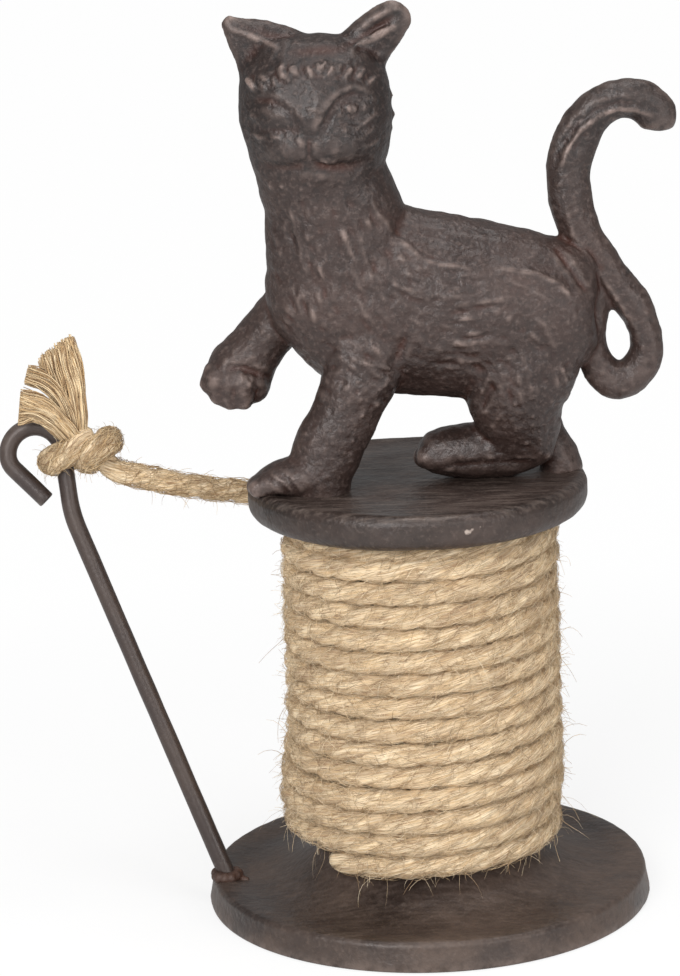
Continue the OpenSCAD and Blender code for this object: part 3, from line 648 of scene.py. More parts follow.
def tuft_lines(rows, locks, each, seed, thick, slant):
    """Wavy locks of fibre that fan out along the rows and were cut off at a slant, which is the share of
    its length that one side is shorter by."""
    step, fewest, scatter, stray_most, thinner = 0.65, 6, 0.4, 0.35, 0.2
    draw = random.Random(seed)
    fine = even_route(rows, step)
    places = np.array(KNOT) + fine[:, :3]
    deep, wide = frames_along(places)[1:]
    share = np.linspace(0, 1, len(fine))
    lines = []
    for _ in range(locks):
        u = draw.uniform(-1, 1)
        v = draw.uniform(-1, 1) * math.sqrt(1 - u * u)
        reach = draw.uniform(0.96, 1.0) - slant * (u + 1) / 2
        start, waves, high = draw.uniform(0, 6.28), draw.uniform(1, 2.4), draw.uniform(0.2, 0.7)
        sway = high * np.sin(start + 2 * math.pi * waves * share) * share
        for _ in range(each):
            du, dv = draw.gauss(0, scatter), draw.gauss(0, scatter)
            last = min(max(int(len(fine) * (reach + draw.uniform(-0.02, 0.02))), fewest), len(fine))
            own, stray = thick * draw.uniform(0.6, 1.25), draw.gauss(0, stray_most)
            at = places + wide * (fine[:, 3] * u * 0.92 + sway + du + stray * share ** 2)[:, None]
            at = at + deep * (fine[:, 4] * v * 0.9 + dv * 0.8)[:, None]
            # Every second point, counted from the cut end
            lines.append(np.column_stack([at, own * (1 - thinner * share)])[last - 1::-2][::-1])
    return lines


def make_tufts():
    upper = tuft_lines(UPPER_TUFT, locks=64, each=15, seed=31, thick=0.2, slant=0.13)
    upper += tuft_lines(SIDE_TUFT, locks=18, each=13, seed=32, thick=0.18, slant=-0.12)
    lower = tuft_lines(LOWER_TUFT, locks=58, each=14, seed=33, thick=0.19, slant=-0.1)
    shown = []
    for name, lines, seed, node in (("rope_end_upper", upper, 34, "tail_upper"),
                                    ("rope_end_lower", lower, 35, "tail_lower")):
        shown.append(show(name, tubes(name, lines, FIBRE, seed), COMBED_AND_SHADED, "base", "frayed_jute", node))
    return shown


lead, knot, lead_fuzz = make_free_rope()
tuft_one, tuft_two = make_tufts()


# The roll: an under layer and the outer layer of the same rope, which its nap makes a little thicker
ROLL_ROPE_D = 6.1
UNDER_D, UNDER_R, UNDER_LOW, UNDER_PITCH, UNDER_TURNS, UNDER_START = 5.6, 24.85, 19, 5.8, 13.2, 40


def wound_route(turn, reach, height, start, uneven, seed):
    """Rope round the spool at each turn count, reach and height, and the outward direction along it."""
    around = math.radians(start) + 2 * math.pi * turn
    lift = np.array([noise.noise(Vector((a * 0.9, seed, 0))) for a in around]) * uneven
    push = np.array([noise.noise(Vector((a * 0.7, seed, 9))) for a in around]) * uneven
    outward = np.column_stack([np.cos(around), np.sin(around), np.zeros(len(around))])
    route = outward * (reach + push)[:, None]
    route[:, 2] = height + lift
    return route, outward


def make_roll():
    step, top_turn, top_in, top_in_over, tuck, tuck_over = 1.15, 0.8, 1.5, 0.1, 5.0, 0.12
    sag_most, sag_at, sag_tall, shift_most, shift_at, shift_tall = 1.3, 31, 10, 1.4, 26, 11
    rows = (ROLL_HIGH - ROLL_LOW) / ROW_PITCH
    turn = np.arange(0, rows + top_turn, step / (2 * math.pi * ROLL_R))
    # The last rows sag outwards near the base; the top end is pressed in under the plate, then tucked away
    height = np.minimum(ROLL_LOW + turn * ROW_PITCH, ROLL_HIGH + 0.1)
    sag = sag_most * np.exp(-((height - sag_at) / sag_tall) ** 2)
    inward = top_in * np.clip((turn - rows) / top_in_over, 0, 1)
    inward = inward + tuck * np.clip((turn - rows - top_turn) / tuck_over + 1, 0, 1)
    route, outward = wound_route(turn, ROLL_R + sag - inward, height, ROLL_START, uneven=0.5, seed=2.0)
    route[:, 0] -= shift_most * np.exp(-((height - shift_at) / shift_tall) ** 2)
    frames = frames_along(route, outward)
    strands = rope_lines(route, frames, ROLL_ROPE_D, ROPE_LAY, uneven=0.16, seed=3)
    laid = tubes("rope_roll_laid", strands, STRAND, seed=1, lumpy=0.22)
    show("rope_roll_laid", laid, JUTE, "spool", "jute", "rope_winding")
    for number in range(3):
        name = "rope_roll_nap_%d" % (number + 1)
        short = nap(route, frames, radius=3.0, count=5200, length=8, spread=80, seed=44 + number, thick=0.05)
        show(name, tubes(name, short, FIBRE, seed=4 + number), FRAYED, "spool", "frayed_jute")

    # Stray fibres all over except on the tucked end, long ones, and those that hang from the lowest row
    most, foot = len(route) - 300, 190
    seen, low = [f[:most] for f in frames], [f[:foot] for f in frames]
    hairs = fibres(route[:most], seen, radius=2.85, count=3000, length=5, spread=75, seed=51, thick=0.05)
    hairs += fibres(route[:most], seen, radius=3.0, count=420, length=12, spread=70, seed=52, thick=0.08,
                    droop=0.4, across=2.5, curly=0.8)
    hairs += fibres(route[:foot], low, radius=2.9, count=110, length=15, spread=80, seed=53, thick=0.05,
                    droop=0.7, across=0.6, curly=1.0)
    show("rope_roll_fuzz", tubes("rope_roll_fuzz", hairs, FIBRE, seed=2), FRAYED, "spool", "frayed_jute")
    curls = fibres(route[:most], seen, radius=3.0, count=3600, length=4.5, spread=80, seed=54, thick=0.07,
                   droop=0.1, across=2.0, curly=1.2)
    show("rope_roll_curls", tubes("rope_roll_curls", curls, FIBRE, seed=9), FRAYED, "spool", "frayed_jute")

    turn = np.arange(0, UNDER_TURNS, 0.01)
    reach = np.full(len(turn), UNDER_R)
    height = UNDER_LOW + turn * UNDER_PITCH
    under, outward = wound_route(-turn, reach, height, UNDER_START, uneven=0.2, seed=6.0)
    strands = rope_lines(under, frames_along(under, outward), UNDER_D, ROPE_LAY, uneven=0.1, seed=9)
    laid = tubes("rope_under_layer", strands, HIDDEN, seed=3)
    show("rope_under_layer", laid, JUTE, "spool", "jute", "rope_core")


make_roll()


# Base and plate: turned profiles with the slight unevenness of sand casting

def arc(middle, radius, first, last, count):
    angles = np.radians(np.linspace(first, last, count + 1))
    return [(middle[0] + radius * math.cos(a), middle[1] + radius * math.sin(a)) for a in angles]


def finer(profile, step):
    """The profile with points no further apart than step, so that it can be made uneven."""
    fine = []
    for (r0, z0), (r1, z1) in zip(profile, profile[1:]):
        n = max(int(math.hypot(r1 - r0, z1 - z0) / step), 1)
        fine += [(r0 + (r1 - r0) * k / n, z0 + (z1 - z0) * k / n) for k in range(n)]
    return fine + [profile[-1]]


def turned(name, profile, steps=224):
    bm = bmesh.new()
    line = [bm.verts.new((r, 0, z)) for r, z in profile]
    edges = [bm.edges.new(pair) for pair in zip(line, line[1:])]
    bmesh.ops.spin(bm, geom=line + edges, cent=(0, 0, 0), axis=(0, 0, 1), angle=2 * math.pi, steps=steps,
                   use_merge=True)
    bmesh.ops.remove_doubles(bm, verts=bm.verts, dist=1e-4)
    bmesh.ops.recalc_face_normals(bm, faces=bm.faces)
    return to_mesh(name, bm)


def cast(mesh, wave, pit, seed, still_below=None):
    """A turned blank made uneven: slow waves, small pits, and wear with painted highlight where it stands
    out.
    """
    wave_wide, pit_wide = 19, 3.4
    mark_wear(mesh)
    points, ways = points_of(mesh) / MM, normals_of(mesh)
    moved = roughen(points, ways, wave_wide, wave, seed)
    moved = roughen(moved, ways, pit_wide, pit, seed + 5)
    if still_below is not None:
        keep = points[:, 2] < still_below
        moved[keep] = points[keep]
    put_points(mesh, moved * MM)
    return mesh


def make_base():
    flat, foot, foot_round, dish_steps, edge_steps = 10, 0.8, 0.25, 22, 7
    inner, top_r = BASE_R - flat, BASE_R - BASE_DRAFT
    rise = BASE_HUB_H - BASE_RIM + BASE_DISH
    bow = ((inner - BASE_HUB_R) ** 2 + rise ** 2) / (2 * rise)
    out = math.degrees(math.acos((bow - BASE_DISH) / bow))
    into = math.degrees(math.asin((inner - BASE_HUB_R) / bow))
    profile = [(STUD_R, BASE_HUB_H), (BASE_HUB_R, BASE_HUB_H)]
    profile += arc((inner, BASE_RIM - BASE_DISH + bow), bow, -90 - into, out - 90, dish_steps)[1:]
    profile += arc((top_r - BASE_EDGE, BASE_RIM - BASE_EDGE), BASE_EDGE, 90, 0, edge_steps)
    profile += [(BASE_R, foot), (BASE_R - foot_round, foot_round), (BASE_R - foot, 0), (RECESS_R, 0),
                (RECESS_R, RECESS_H), (STUD_R, RECESS_H), (STUD_R, BASE_HUB_H)]
    blank = turned("base_casting", finer(profile, 1.4))
    mesh = cast(blank, wave=0.3, pit=0.12, seed=3.0, still_below=0.3)
    show("base_casting", mesh, BASE_IRON, "base", "cast_iron", "base_plate")


def make_plate():
    thick, shoulder, ridge_in, edge_steps = PLATE_TOP - PLATE_Z, PLATE_R - PLATE_EDGE, 0.8, 9
    profile = [(0, PLATE_BORE), (STUD_R, PLATE_BORE), (STUD_R, 0)]
    profile += arc((PLATE_R - PLATE_UNDER, PLATE_UNDER), PLATE_UNDER, -90, 0, edge_steps)
    profile += arc((shoulder, thick + PLATE_RIDGE - PLATE_EDGE), PLATE_EDGE, 0, 90, edge_steps)
    profile += [(shoulder - ridge_in, thick + PLATE_RIDGE), (shoulder - PLATE_RIDGE_W, thick), (0, thick)]
    raised = [(r, z + PLATE_Z) for r, z in finer(profile, 1.3)]
    mesh = cast(turned("plate_casting", raised), wave=0.28, pit=0.1, seed=7.0)
    show("plate_casting", mesh, PLATE_IRON, "top", "cast_iron", "top_plate")


make_base()
make_plate()


# The rod: a straight shank, a slow bend, a neck, an open eye and a straight tip, all in one leaning plane

ROD_AT = math.radians(ROD_ROUND)
ROD_FOOT = Vector((math.cos(ROD_AT), math.sin(ROD_AT), 0)) * (BASE_R - ROD_INSET)
ROD_FOOT.z = BASE_RIM


def bend_heading(degrees):
    a = math.radians(degrees)
    return Vector((-math.sin(a), 0, math.cos(a)))


def bend_side(degrees):
    a = math.radians(degrees)
    return Vector((math.cos(a), 0, math.sin(a)))


def run_on(bm, ring, way, length, steps):
    """The ring drawn on in a straight line."""
    for _ in range(steps):
        drawn = bmesh.ops.extrude_edge_only(bm, edges=ring)["geom"]
        verts = [g for g in drawn if isinstance(g, bmesh.types.BMVert)]
        bmesh.ops.translate(bm, vec=way * length / steps, verts=verts)
        ring = [g for g in drawn if isinstance(g, bmesh.types.BMEdge) and all(v in drawn for v in g.verts)]
    return ring


def bend_on(bm, ring, middle, degrees, steps):
    """The ring swept round a bend."""
    verts = list({v for e in ring for v in e.verts})
    swept = bmesh.ops.spin(bm, geom=verts + ring, cent=middle, axis=(0, -1, 0),
                           angle=math.radians(degrees), steps=steps)
    return [g for g in swept["geom_last"] if isinstance(g, bmesh.types.BMEdge)]


def make_rod():
    # Lengths, bend radii and angles from the foot to the tip
    seat, shank, ease_r, ease_turn, neck = 3.9, 94.5, 30, 15, 12
    eye_r, end_r, end_turn, tip = 6.8, 5, 44, 11.3
    sides, tip_edge, ripple_long, ripple = 32, 0.45, 8, 0.08
    bm = bmesh.new()
    start = bend_heading(ROD_TILT) * -seat
    turn = bend_heading(ROD_TILT).to_track_quat("Z", "Y").to_matrix().to_4x4()
    bmesh.ops.create_circle(bm, cap_ends=True, radius=ROD_R, segments=sides,
                            matrix=Matrix.Translation(start) @ turn)
    ring = list(bm.edges)
    ring = run_on(bm, ring, bend_heading(ROD_TILT), seat + shank, 70)
    at = bend_heading(ROD_TILT) * shank
    ring = bend_on(bm, ring, at + bend_side(ROD_TILT) * ease_r, -ease_turn, 8)
    slope = ROD_TILT - ease_turn
    at = at + (bend_side(ROD_TILT) - bend_side(slope)) * ease_r
    ring = run_on(bm, ring, bend_heading(slope), neck, 9)
    at = at + bend_heading(slope) * neck
    ring = bend_on(bm, ring, at - bend_side(slope) * eye_r, 180 - slope, 26)
    at = at - (bend_side(slope) - bend_side(180)) * eye_r
    ring = bend_on(bm, ring, at - bend_side(180) * end_r, end_turn, 8)
    ring = run_on(bm, ring, bend_heading(180 + end_turn), tip, 8)
    end_face = bmesh.ops.contextual_create(bm, geom=ring)["faces"]
    rim = [e for f in end_face for e in f.edges]
    bmesh.ops.bevel(bm, geom=rim, offset=tip_edge, offset_type="OFFSET", segments=3, profile=0.5,
                    affect="EDGES", material=-1)
    lean = math.radians(ROD_LEAN)
    stand = Matrix((
        (1, 0, 0), (0, math.cos(lean), math.sin(lean)), (0, -math.sin(lean), math.cos(lean)))).to_4x4()
    bmesh.ops.transform(bm, matrix=Matrix.Translation(ROD_FOOT) @ stand, verts=bm.verts)
    bmesh.ops.recalc_face_normals(bm, faces=bm.faces)
    mesh = to_mesh("bent_rod", bm)
    mark_wear(mesh)
    put_points(mesh, roughen(points_of(mesh) / MM, normals_of(mesh), ripple_long, ripple, 2.0) * MM)
    show("bent_rod", mesh, ROD_IRON, "base", "rod", "hook_rod")


make_rod()


def remeshed(name, bm, voxel, smoothing):
    """One closed skin over overlapping forms, smoothed."""
    holder = bpy.data.objects.new(name, to_mesh(name, bm))
    skin = holder.modifiers.new("skin", "REMESH")
    skin.mode, skin.voxel_size, skin.use_smooth_shade = "VOXEL", voxel * MM, True
    ease = holder.modifiers.new("ease", "SMOOTH")
    ease.factor, ease.iterations = 0.5, smoothing
    return mesh_of(name, holder)


def make_weld():
    beads, ring_r, least, most, run_beads, run_r = 11, 2.6, 1.3, 1.7, 4, 1.3
    bm = bmesh.new()
    draw = random.Random(12)
    spots = []
    for k in range(beads):
        a = 2 * math.pi * k / beads
        at = Vector((ring_r * math.cos(a) - 0.2, ring_r * math.sin(a), 0.4 + draw.uniform(-0.1, 0.6)))
        spots.append((at, draw.uniform(least, most)))
    # The bead runs out towards the middle of the base
    spots += [(Vector((2.2 + 0.8 * k, -0.6 - 0.3 * k, -0.2 - 0.1 * k)), run_r - 0.15 * k)
              for k in range(run_beads)]
    for at, radius in spots:
        place = Matrix.Translation(ROD_FOOT + at)
        bmesh.ops.create_icosphere(bm, subdivisions=3, radius=radius, matrix=place)
    mesh = remeshed("weld_bead", bm, voxel=0.3, smoothing=3)
    mark_wear(mesh)
    show("weld_bead", mesh, WELD_IRON, "base", "weld", "hook_weld")


make_weld()


# The cat: oval limbs through rows of x, y, z above the plate, half width in its side view, half thickness

CAT_LIMBS = {
    "torso": (24, [
        (-35, -2, 48, 3, 3), (-32, -2, 48, 11, 8), (-26, -2, 47.8, 16, 12), (-14, -2, 46, 23, 14),
        (2, -2, 43.4, 22.6, 14), (18, -2, 40.9, 21.6, 14), (32, -2, 39.5, 19, 13.5), (39, -2, 37, 15, 11.5),
        (42.5, -2, 36, 9, 8), (44, -2, 36, 2, 2)]),
    "neck": (28, [
        (-15, -2, 46, 19, 13), (-17, -3, 58, 17.8, 13), (-18.4, -4, 68, 16.4, 12.5),
        (-20.6, -5, 76, 15.4, 12.5), (-21, -6, 84, 17.2, 13.5), (-21.3, -6.5, 91, 18.1, 14),
        (-21.8, -6, 98, 17.6, 13), (-22.2, -5, 103.5, 16, 10.5), (-22, -4, 107, 12.5, 6.5),
        (-22, -3.5, 108.4, 6, 3)]),
    "ear_left": (16, [
        (-28, -5, 100, 10.4, 5.5), (-32, -6, 104.5, 9, 4), (-36.9, -6.8, 109, 5.5, 2.6),
        (-42, -7.2, 113.6, 1.4, 1)]),
    "ear_right": (16, [
        (-13.4, -5, 100, 8.6, 5.5), (-9.4, -6, 105.5, 6.6, 4), (-4.5, -6.8, 110.6, 5.3, 2.8),
        (-0.8, -7.2, 114, 4, 1.8), (0.4, -7.3, 115.2, 1.6, 0.8)]),
    "raised_leg": (18, [
        (-25, 2, 44, 10, 6), (-33, 4, 38.4, 7, 7.5), (-37.5, 4, 33.2, 6.8, 6.8), (-41.4, 3.5, 28, 8.2, 7.2),
        (-43.4, 3, 23.4, 8, 6.8), (-44.6, 3, 20.2, 5, 4.4), (-45, 3, 19.4, 1.5, 1.5)]),
    "planted_leg": (18, [
        (-8, -6, 46, 14, 8), (-10.5, -8, 36, 12, 8), (-13.4, -9.5, 27, 9.2, 7.5), (-17, -10, 18.6, 8.2, 7),
        (-20.9, -10.5, 11.5, 8.6, 6.8), (-23.4, -11, 5, 8, 6.6), (-24, -11, -1, 7.6, 6.6)]),
    "forepaw": (18, [
        (-18.5, -11, 5, 2.5, 3.5), (-24.5, -11, 4, 5.6, 7), (-32, -11, 3.6, 4.6, 7.2),
        (-37, -11, 2.6, 3.2, 6), (-39.6, -11, 1.6, 1.4, 3)]),
    "thigh": (20, [
        (28, -5, 46, 13, 7), (26.5, -6, 36, 15, 9), (25, -6, 27, 14.6, 9), (24.3, -5.5, 19, 12, 8.2),
        (25, -4, 12, 10, 7.2), (25, -3, 6, 8, 6)]),
    "hind_foot": (18, [
        (33, -2, 7.5, 3.5, 4), (30, -2, 7.5, 5.2, 6), (22, -2, 6.8, 7, 6.8), (13, -2, 6.4, 6.9, 7),
        (6, -2, 6.6, 5.8, 6.6), (2, -2, 7.4, 4.2, 5), (0.4, -2, 7.8, 1.5, 2)]),
    "far_leg": (18, [
        (30.5, 5, 26, 7.4, 6), (30.3, 5, 15, 5.2, 6), (31.8, 4.5, 8.4, 4.8, 6), (34.8, 4, 3, 5.2, 6.2),
        (35.4, 4, -1, 5.4, 6.2)]),
    "tail_loop": (18, [
        (37, 0, 53, 5, 4.6), (43, 0, 43, 4.8, 4.2), (43.4, 0, 33.5, 3.2, 4.2), (44.4, 0, 26.6, 4.2, 4.2),
        (47.6, 0, 22.6, 4.8, 4.4), (51.8, 0, 22.6, 4.6, 4.4), (55.4, 0, 26.4, 4.4, 4.4),
        (56.4, 0, 32, 4, 4.2), (53.6, 0, 40, 4.4, 4.2), (48.6, 0, 47.5, 4.4, 4)]),
    "tail_rise": (18, [
        (52.6, 0, 41, 4.2, 3.8), (48, 0, 48, 4.6, 4.2), (42.3, 0, 56.3, 4.8, 4.2), (39.2, 0, 64, 5.2, 4.2),
        (38.3, 0, 73, 5.5, 4.2), (40, 0, 80.6, 5.6, 4), (43.4, 0, 86.4, 5.2, 4), (48.6, 0, 90, 4.8, 3.8),
        (54, 0, 90.6, 4.8, 3.6), (58.4, 0, 88, 5.2, 3.4), (60, 0, 84.4, 4.6, 3), (60.3, 0, 82.6, 2, 1.6)]),
}

# Toes, knuckles and the tufts at the cheek's edge: first end, second end, radius
CAT_LUMPS = [
    ((-32, -15.6, 3), (-38.4, -14.4, 2), 2.4), ((-33, -12.2, 3.4), (-39, -12, 2.2), 2.3),
    ((-33, -8.8, 3.2), (-39, -9.4, 2), 2.2), ((-47.6, -1.5, 26.2), (-47.2, -0.5, 22.6), 2.9),
    ((-41.6, -2, 25.4), (-41.6, -1, 21.4), 3.1), ((-44.6, -1.6, 25), (-44.5, -0.8, 21.4), 3.1),
    ((-48.4, 0.4, 27.6), (-49.4, 0.6, 24.8), 2.8),
    ((8, -6, 5), (2.6, -5.2, 6), 3), ((8, -2, 5), (2, -2, 5.4), 3),
    ((-4.8, -6, 98.2), (-4.2, -6.5, 96.8), 0.8), ((-4.4, -6, 95.8), (-3.6, -6.5, 94.4), 0.9),
    ((-4.2, -6, 91.2), (-3.4, -6.5, 89.8), 0.9), ((-4.4, -6, 88), (-3.8, -6.5, 86.4), 0.8),
]


def limb(bm, rows, sides, steps=4):
    """An oval limb through its rows: a circle at each, bridged to the next."""
    fine = smooth_rows(rows, steps)
    across = Vector((0, 1, 0))
    before = None
    for i, row in enumerate(fine):
        ahead = Vector(fine[min(i + 1, len(fine) - 1)][:3]) - Vector(fine[max(i - 1, 0)][:3])
        ahead.normalize()
        deep = (across - ahead * across.dot(ahead)).normalized()
        wide = deep.cross(ahead)
        turn = Matrix((wide * row[3], deep * row[4], ahead)).transposed().to_4x4()
        ends = i in (0, len(fine) - 1)
        ring = bmesh.ops.create_circle(bm, cap_ends=ends, radius=1, segments=sides,
                                       matrix=Matrix.Translation(row[:3]) @ turn)["verts"]
        edges = [e for e in {e for v in ring for e in v.link_edges} if all(v in ring for v in e.verts)]
        if before:
            bmesh.ops.bridge_loops(bm, edges=before + edges)
        before = edges


def lump(bm, one, two, radius):
    """A short rounded lump between two points."""
    one, two = Vector(one), Vector(two)
    made = bmesh.ops.create_uvsphere(bm, u_segments=16, v_segments=12, radius=radius)["verts"]
    way = (two - one).normalized()
    turn = way.to_track_quat("Z", "Y").to_matrix().to_4x4()
    half = (two - one).length / 2
    for v in made:
        v.co.z += half if v.co.z > 0 else -half
    bmesh.ops.transform(bm, matrix=Matrix.Translation((one + two) / 2) @ turn, verts=made)


def ease(values):
    """From 0 to 1 with soft ends."""
    t = np.clip(values, 0, 1)
    return t * t * (3 - 2 * t)


# The sheet that strokes are drawn on stands in front of the cat; it is seen from the camera's height
SHEET_Y, SHEET_SLOPE = -18, 0.2584


class Sculpt:
    """The cat's skin while it is being worked. Strokes are drawn on an upright sheet in front of it and
    are pressed straight in; the far side gets the body's strokes too."""

    def __init__(self, mesh):
        self.mesh = mesh
        self.points = points_of(mesh) / MM - np.array([0, 0, PLATE_TOP])
        self.ways = normals_of(mesh)
        self.rise = np.zeros(len(self.points))
        near = self.points[:, 1] - SHEET_Y
        self.front = np.column_stack([self.points[:, 0], self.points[:, 2] + SHEET_SLOPE * near])
        self.back = self.points[:, [0, 2]]
        self.facing = np.clip(-self.ways[:, 1] * 1.6 + 0.15, 0, 1)
        self.away = np.clip(self.ways[:, 1] * 1.6 - 0.1, 0, 1)

    def near_line(self, sheet, line):
        """Distance to a line, and how far along it, from 0 to 1."""
        line = np.array(line, float)
        run = np.concatenate([[0], np.cumsum(np.linalg.norm(np.diff(line, axis=0), axis=1))])
        best, along = np.full(len(sheet), 1e9), np.zeros(len(sheet))
        for a, b, r in zip(line, line[1:], run):
            way = b - a
            long = np.linalg.norm(way)
            t = np.clip((sheet - a) @ way / long ** 2, 0, 1)
            gap = np.linalg.norm(sheet - a - t[:, None] * way, axis=1)
            closer = gap < best
            best = np.where(closer, gap, best)
            along = np.where(closer, (r + t * long) / run[-1], along)
        return best, along

    def stroke(self, line, width, height, far=False, taper=0.5):
        """A soft ridge, or a groove where height is below zero, along a line, thinner at its ends."""
        sheet, seen = (self.back, self.away) if far else (self.front, self.facing)
        low, high = np.min(line, axis=0) - width * 2.5, np.max(line, axis=0) + width * 2.5
        near = np.flatnonzero(((sheet > low) & (sheet < high)).all(axis=1) & (seen > 0))
        if not len(near):
            return
        gap, along = self.near_line(sheet[near], line)
        ends = np.clip(np.minimum(along, 1 - along) * 2 / max(taper, 1e-6), 0, 1) ** 0.6
        self.rise[near] += height * ends * np.exp(-(gap / width) ** 2) * seen[near]

    def oval(self, middle, size, tilt):
        """A soft oval on the sheet, 1 in its middle."""
        a = math.radians(tilt)
        d = self.front - np.array(middle)
        u = (d[:, 0] * math.cos(a) + d[:, 1] * math.sin(a)) / size[0]
        v = (-d[:, 0] * math.sin(a) + d[:, 1] * math.cos(a)) / size[1]
        return np.exp(-u ** 2 - v ** 2)

    def swell(self, middle, size, height, tilt=0):
        """A soft oval bump or hollow."""
        self.rise += height * self.oval(middle, size, tilt) * self.facing

    def terrace(self, line, height, soft, fade):
        """The skin above a line from left to right raised by a soft step that dies away upwards."""
        low, high = np.min(line, axis=0) - 6, np.max(line, axis=0) + 14
        near = np.flatnonzero(((self.front > low) & (self.front < high)).all(axis=1) & (self.facing > 0))
        sheet = self.front[near]
        gap = self.near_line(sheet, line)[0]
        level = np.interp(sheet[:, 0], [p[0] for p in line], [p[1] for p in line])
        above = np.where(sheet[:, 1] > level, gap, -gap)
        inside = ease((sheet[:, 0] - line[0][0] + 2) / 4) * ease((line[-1][0] + 2 - sheet[:, 0]) / 4)
        step = ease(above / soft + 0.5) * np.exp(-np.clip(above, 0, None) / fade)
        self.rise[near] += height * step * inside * self.facing[near]

    def press(self):
        """The strokes so far become the skin."""
        self.points = self.points + self.ways * self.rise[:, None]
        self.rise[:] = 0
        put_points(self.mesh, (self.points + np.array([0, 0, PLATE_TOP])) * MM)
        self.ways = normals_of(self.mesh)


# The brows run down into the wedge of the nose
BROW = [
    (-37, 97), (-34.1, 96.4), (-31.4, 95.6), (-29, 94.3), (-26.9, 92.3), (-25.4, 90), (-24.3, 88.2),
    (-22.7, 87.3), (-21, 88), (-18.9, 90.2), (-17.8, 92.4), (-16.5, 94.3), (-14.7, 95.8), (-12.7, 96.5),
    (-10.7, 96.2), (-8, 95)]

# Broad forms of the face, each a soft oval: eyes, muzzle, nose, chin, hollows of the ears;
# middle, size, height, tilt
FACE_FORMS = [
    ((-30.6, 92.6), (4.4, 2.4), 0.7, -18), ((-12.9, 93), (3.4, 2.4), 0.3, 10),
    ((-28.6, 84), (5.4, 3.4), 1.5, -4), ((-16.6, 84), (5.8, 3.6), 1.5, 6),
    ((-22.4, 88.2), (1.7, 1.2), -0.25, 0), ((-21, 77.8), (6, 2.4), 0.6, 0),
    ((-35.2, 107.6), (4, 2.4), -0.8, -38), ((-5.8, 113), (4.4, 1.5), -1.5, 30),
    ((-5, 108.4), (3, 1.6), -0.7, 40)]
NOSE_BRIDGE = ((-21.4, 93), (3, 5.5), 0.5, -6)
NEAR_EYE, EYE_RING, PUPIL = (-13, 92.9), (2.0, 1.7), (0.9, 0.7)

# Creases of the face: line, width, depth
FACE_CREASES = [
    (BROW[:7], 1.0, 0.4), (BROW[8:][::-1], 1.2, 0.7),
    ([(-22.8, 86.4), (-23.1, 84.8), (-23.1, 82.8), (-23.2, 81)], 0.7, 0.4),
    ([(-23.2, 80.9), (-25.6, 80), (-28.8, 79.8), (-32, 80.6), (-34.8, 82)], 1.3, 0.5),
    ([(-23.2, 80.9), (-20.8, 80), (-17.3, 79.2), (-13.7, 79.4), (-10.8, 80.5), (-9.2, 82.2)], 1.5, 0.8),
    ([(-36.3, 91), (-34, 89.3), (-30.9, 88.5), (-27.3, 88.3), (-25.2, 87.6)], 1.0, 0.3),
    ([(-16.9, 90.4), (-14.5, 89.8), (-11.7, 90.4), (-9.2, 92.4)], 0.8, 0.3),
    ([(-28, 107.6), (-25, 106.8), (-21, 106), (-16, 106.2), (-13, 107.4)], 2.2, 0.5)]

# Rims of the ears, the bridge of the nose, lip, and hairs of the cheeks: line, width, height
FACE_RIDGES = [
    ([(-41.3, 114.1), (-38.2, 112.9), (-34.7, 111.5), (-31.6, 109.8), (-29.2, 107.8)], 0.6, 0.6),
    ([(-13.1, 107), (-11.1, 108.7), (-8.2, 110.3), (-5, 111.9), (-1.8, 113)], 0.75, 0.9),
    ([(-10.4, 112.6), (-7.4, 115), (-4, 116.8), (-0.6, 117.2)], 0.7, 0.25),
    ([(-24.4, 93.7), (-22.4, 92.9), (-19.8, 92.3)], 0.5, 0.3), ([(-36.9, 93.3), (-35.1, 91.8)], 0.6, 0.4),
    ([(-36.6, 89), (-34.9, 87.4), (-32.5, 87.3)], 0.5, 0.4),
    ([(-32.4, 88.3), (-30.7, 87.2), (-29, 87.2)], 0.5, 0.35),
    ([(-28.6, 88.1), (-27.3, 86.9)], 0.5, 0.35), ([(-26.1, 87.5), (-24.9, 85.8), (-24.2, 84.4)], 0.6, 0.25),
    ([(-12.6, 88), (-10.1, 89.9), (-6.8, 92.6)], 0.55, 0.4),
    ([(-11.4, 86.3), (-8.6, 88.2), (-6.8, 89.6)], 0.5, 0.35),
    ([(-11.5, 83.9), (-8.7, 85), (-6.8, 86.4)], 0.5, 0.35), ([(-15.6, 88.6), (-14.4, 87.6)], 0.5, 0.35),
    ([(-21.2, 81.5), (-19.2, 81), (-17.2, 80.6)], 0.6, 0.6), ([(-22.2, 86), (-21.8, 84.4)], 0.6, 0.2),
    ([(-33.5, 77.5), (-32.2, 75.4), (-31.4, 74.6)], 0.5, 0.4),
    ([(-30.6, 76.4), (-29.4, 75)], 0.5, 0.35), ([(-25.8, 75.4), (-25, 74.2)], 0.5, 0.3)]


# Tufts of the forehead: how many, from where to where, how high, and the point that they fan out from
BROW_TUFTS, TUFTS_LEFT, TUFTS_WIDE, TUFTS_HIGH, TUFTS_BOW = 22, -35, 25, 100.4, 0.012
TUFTS_MIDDLE, TUFTS_FROM = -21, (-21.4, 84)


